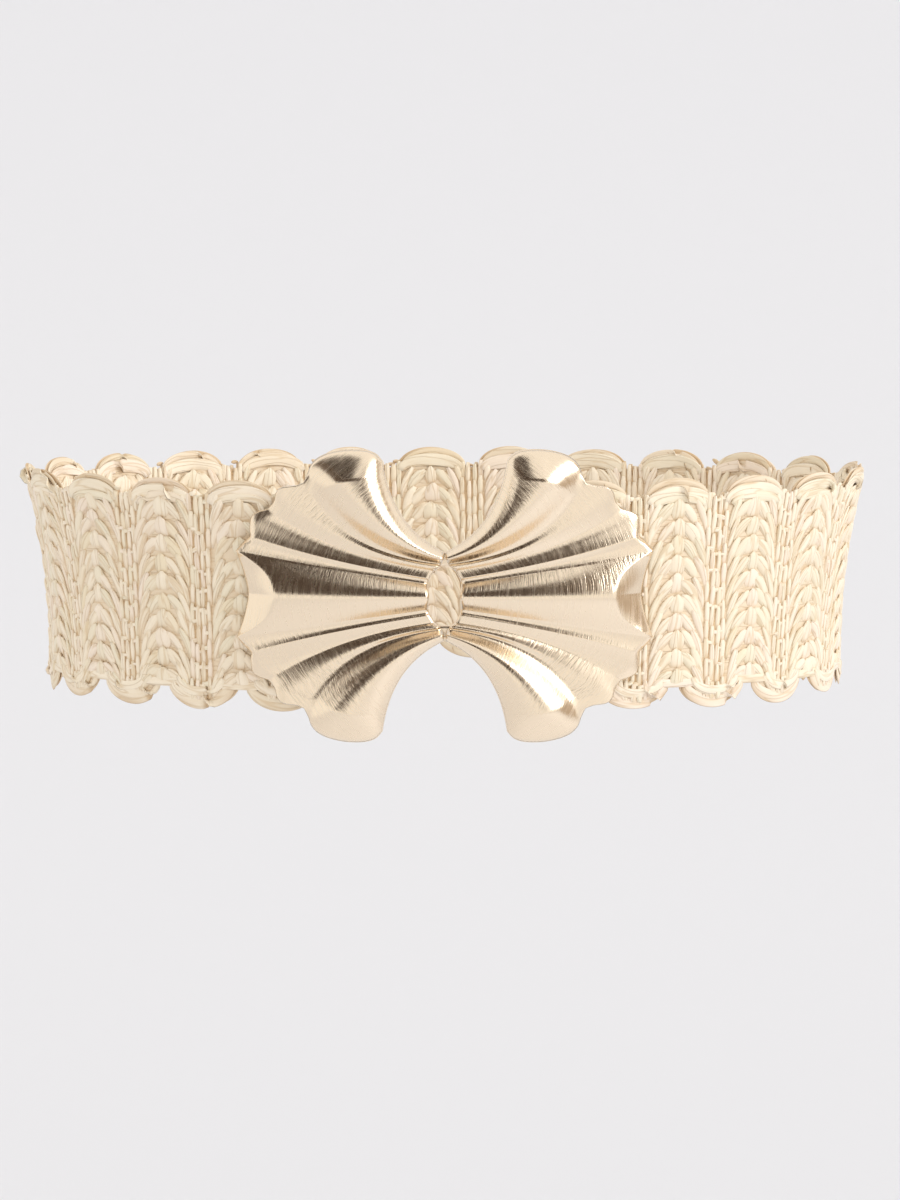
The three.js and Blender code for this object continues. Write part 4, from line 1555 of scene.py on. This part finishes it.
@dataclass
class Studio:
    """A pale sweep far behind and below, soft white light from all round with the stronger share from the
    right, dark cards over the camera and brown ones beside it for the metal to reflect, and the camera."""

    # Camera: its distance and height angle, the picture's scale there, and where the origin lies in it
    distance: float = 1800.0
    elevation: float = 4.8
    pixels_per_mm: float = 3.32
    picture_height: float = 1200.0
    sensor: float = 36.0
    aim_right: float = 1.5
    aim_down: float = 8.4
    clip_start: float = 0.05
    clip_end: float = 50.0

    # Backdrop: a matt pale paper that bends up from the floor
    floor_level: float = -1000.0
    floor_front: float = -4000.0
    backdrop_place: float = 4500.0
    backdrop_top: float = 5000.0
    sweep_radius: float = 1500.0
    sweep_steps: int = 24
    half_width: float = 5000.0
    backdrop_colour: str = "E7E7EA"
    matt_roughness: float = 0.9
    card_distance: float = 2600.0
    card_steps: int = 13

    # Key light: azimuth from the camera's side towards +X and elevation in degrees, side in metres, watts
    key_angles: tuple[float, float] = (63.0, 28.0)
    key_size: float = 1.65
    key_power: float = 34.0
    key_colour: str = "F8FBFF"
    key_distance: float = 2800.0
    world_colour: str = "FFFDFA"
    world_strength: float = 1.04

    def camera(self) -> None:
        """Makes the camera at the photograph's angle: it looks level along +Y and slightly down."""
        tilt = math.radians(self.elevation)
        ahead = Vector((0, math.cos(tilt), -math.sin(tilt)))
        up = Vector((0, math.sin(tilt), math.cos(tilt)))
        data = bpy.data.cameras.new("camera")
        data.sensor_width = self.sensor
        data.lens = self.sensor * self.distance * self.pixels_per_mm / self.picture_height
        data.clip_start, data.clip_end = self.clip_start, self.clip_end
        made = bpy.data.objects.new("camera", data)
        made.location = (Vector((self.aim_right, 0, 0)) - ahead * self.distance - up * self.aim_down) * MM
        made.rotation_euler = ahead.to_track_quat("-Z", "Y").to_euler()
        bpy.context.scene.collection.objects.link(made)
        bpy.context.scene.camera = made

    def matt(self, name: str, colour: str) -> bpy.types.Material:
        """A matt paint for what stands round the object.

        Args:
            name: name of the material.
            colour: sRGB hex colour.

        Returns:
            The material.
        """
        made, tree = new_material(name)
        shader = add_node(
            tree, "ShaderNodeBsdfPrincipled", {"Base Color": linear(colour), "Roughness": self.matt_roughness}
        )
        add_node(tree, "ShaderNodeOutputMaterial", {"Surface": shader.outputs[0]})
        return made

    def sheet(self, name: str, points: np.ndarray, colour: str) -> bpy.types.Object:
        """Makes a sheet of the studio from a grid.

        Args:
            name: name of the sheet.
            points: the grid, of shape (rows, columns, 3), in millimetres.
            colour: sRGB hex colour.

        Returns:
            The sheet.
        """
        rows, columns, _ = points.shape
        grid = np.arange(rows * columns).reshape(rows, columns)
        quads = np.stack([grid[:-1, :-1], grid[1:, :-1], grid[1:, 1:], grid[:-1, 1:]], axis=-1)
        skin = Skin()
        skin.add(points, [quads], points, np.zeros(3))
        made = skin.to_object(name, self.matt(name, colour))
        return made

    def surroundings(self) -> None:
        """Makes the floor that sweeps up into the backdrop on a quarter circle, and the cards."""
        bend = np.radians(np.linspace(0, 90, self.sweep_steps))
        corner = np.array([self.backdrop_place - self.sweep_radius, self.floor_level + self.sweep_radius])
        round_part = corner + self.sweep_radius * np.stack([np.sin(bend), -np.cos(bend)], axis=1)
        path = np.vstack([
            [self.floor_front, self.floor_level], round_part, [self.backdrop_place, self.backdrop_top]
        ])
        sides = np.array([-self.half_width, self.half_width])[:, None]
        floor = np.stack([sides + 0 * path[:, 0], path[:, 0] + 0 * sides, path[:, 1] + 0 * sides], axis=-1)
        self.sheet("floor", floor, self.backdrop_colour)
        for name, card in CARDS.items():
            azimuth = np.radians(np.linspace(*card.turn, self.card_steps))[:, None]
            height = np.radians(np.linspace(*card.rise, self.card_steps))[None]
            made = self.sheet(name, self.card_distance * direction(azimuth, height), card.colour)
            made.visible_camera = False
            made.visible_diffuse = False
            made.visible_shadow = False

    def key_light(self) -> None:
        """Makes the square soft light that faces the object from the right."""
        place = Vector(direction(*np.radians(self.key_angles))) * self.key_distance * MM
        data = bpy.data.lights.new("key", "AREA")
        data.shape = "SQUARE"
        data.size = self.key_size
        data.energy = self.key_power
        data.color = linear(self.key_colour)[:3]
        made = bpy.data.objects.new("key", data)
        made.location = place
        made.rotation_euler = (-place).to_track_quat("-Z", "Y").to_euler()
        bpy.context.scene.collection.objects.link(made)

    def build(self) -> None:
        """Builds the camera, the surroundings, the key light and the soft light from all round."""
        self.camera()
        self.surroundings()
        self.key_light()
        world = bpy.data.worlds.new("soft_surround")
        world.use_nodes = True
        background = world.node_tree.nodes["Background"]
        background.inputs["Color"].default_value = linear(self.world_colour)
        background.inputs["Strength"].default_value = self.world_strength
        bpy.context.scene.world = world
        bpy.context.scene.view_settings.view_transform = "Standard"


def main() -> None:
    """Builds the belt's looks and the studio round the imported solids."""
    logging.basicConfig(level=logging.INFO, format="%(name)s: %(message)s")
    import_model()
    waist = Waist()
    Band(waist, RaffiaFinish()).build()
    Clasp(waist, GoldFinish(), Shell(waist)).build()
    Studio().build()
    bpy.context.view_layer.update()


if __name__ == "__main__":
    main()
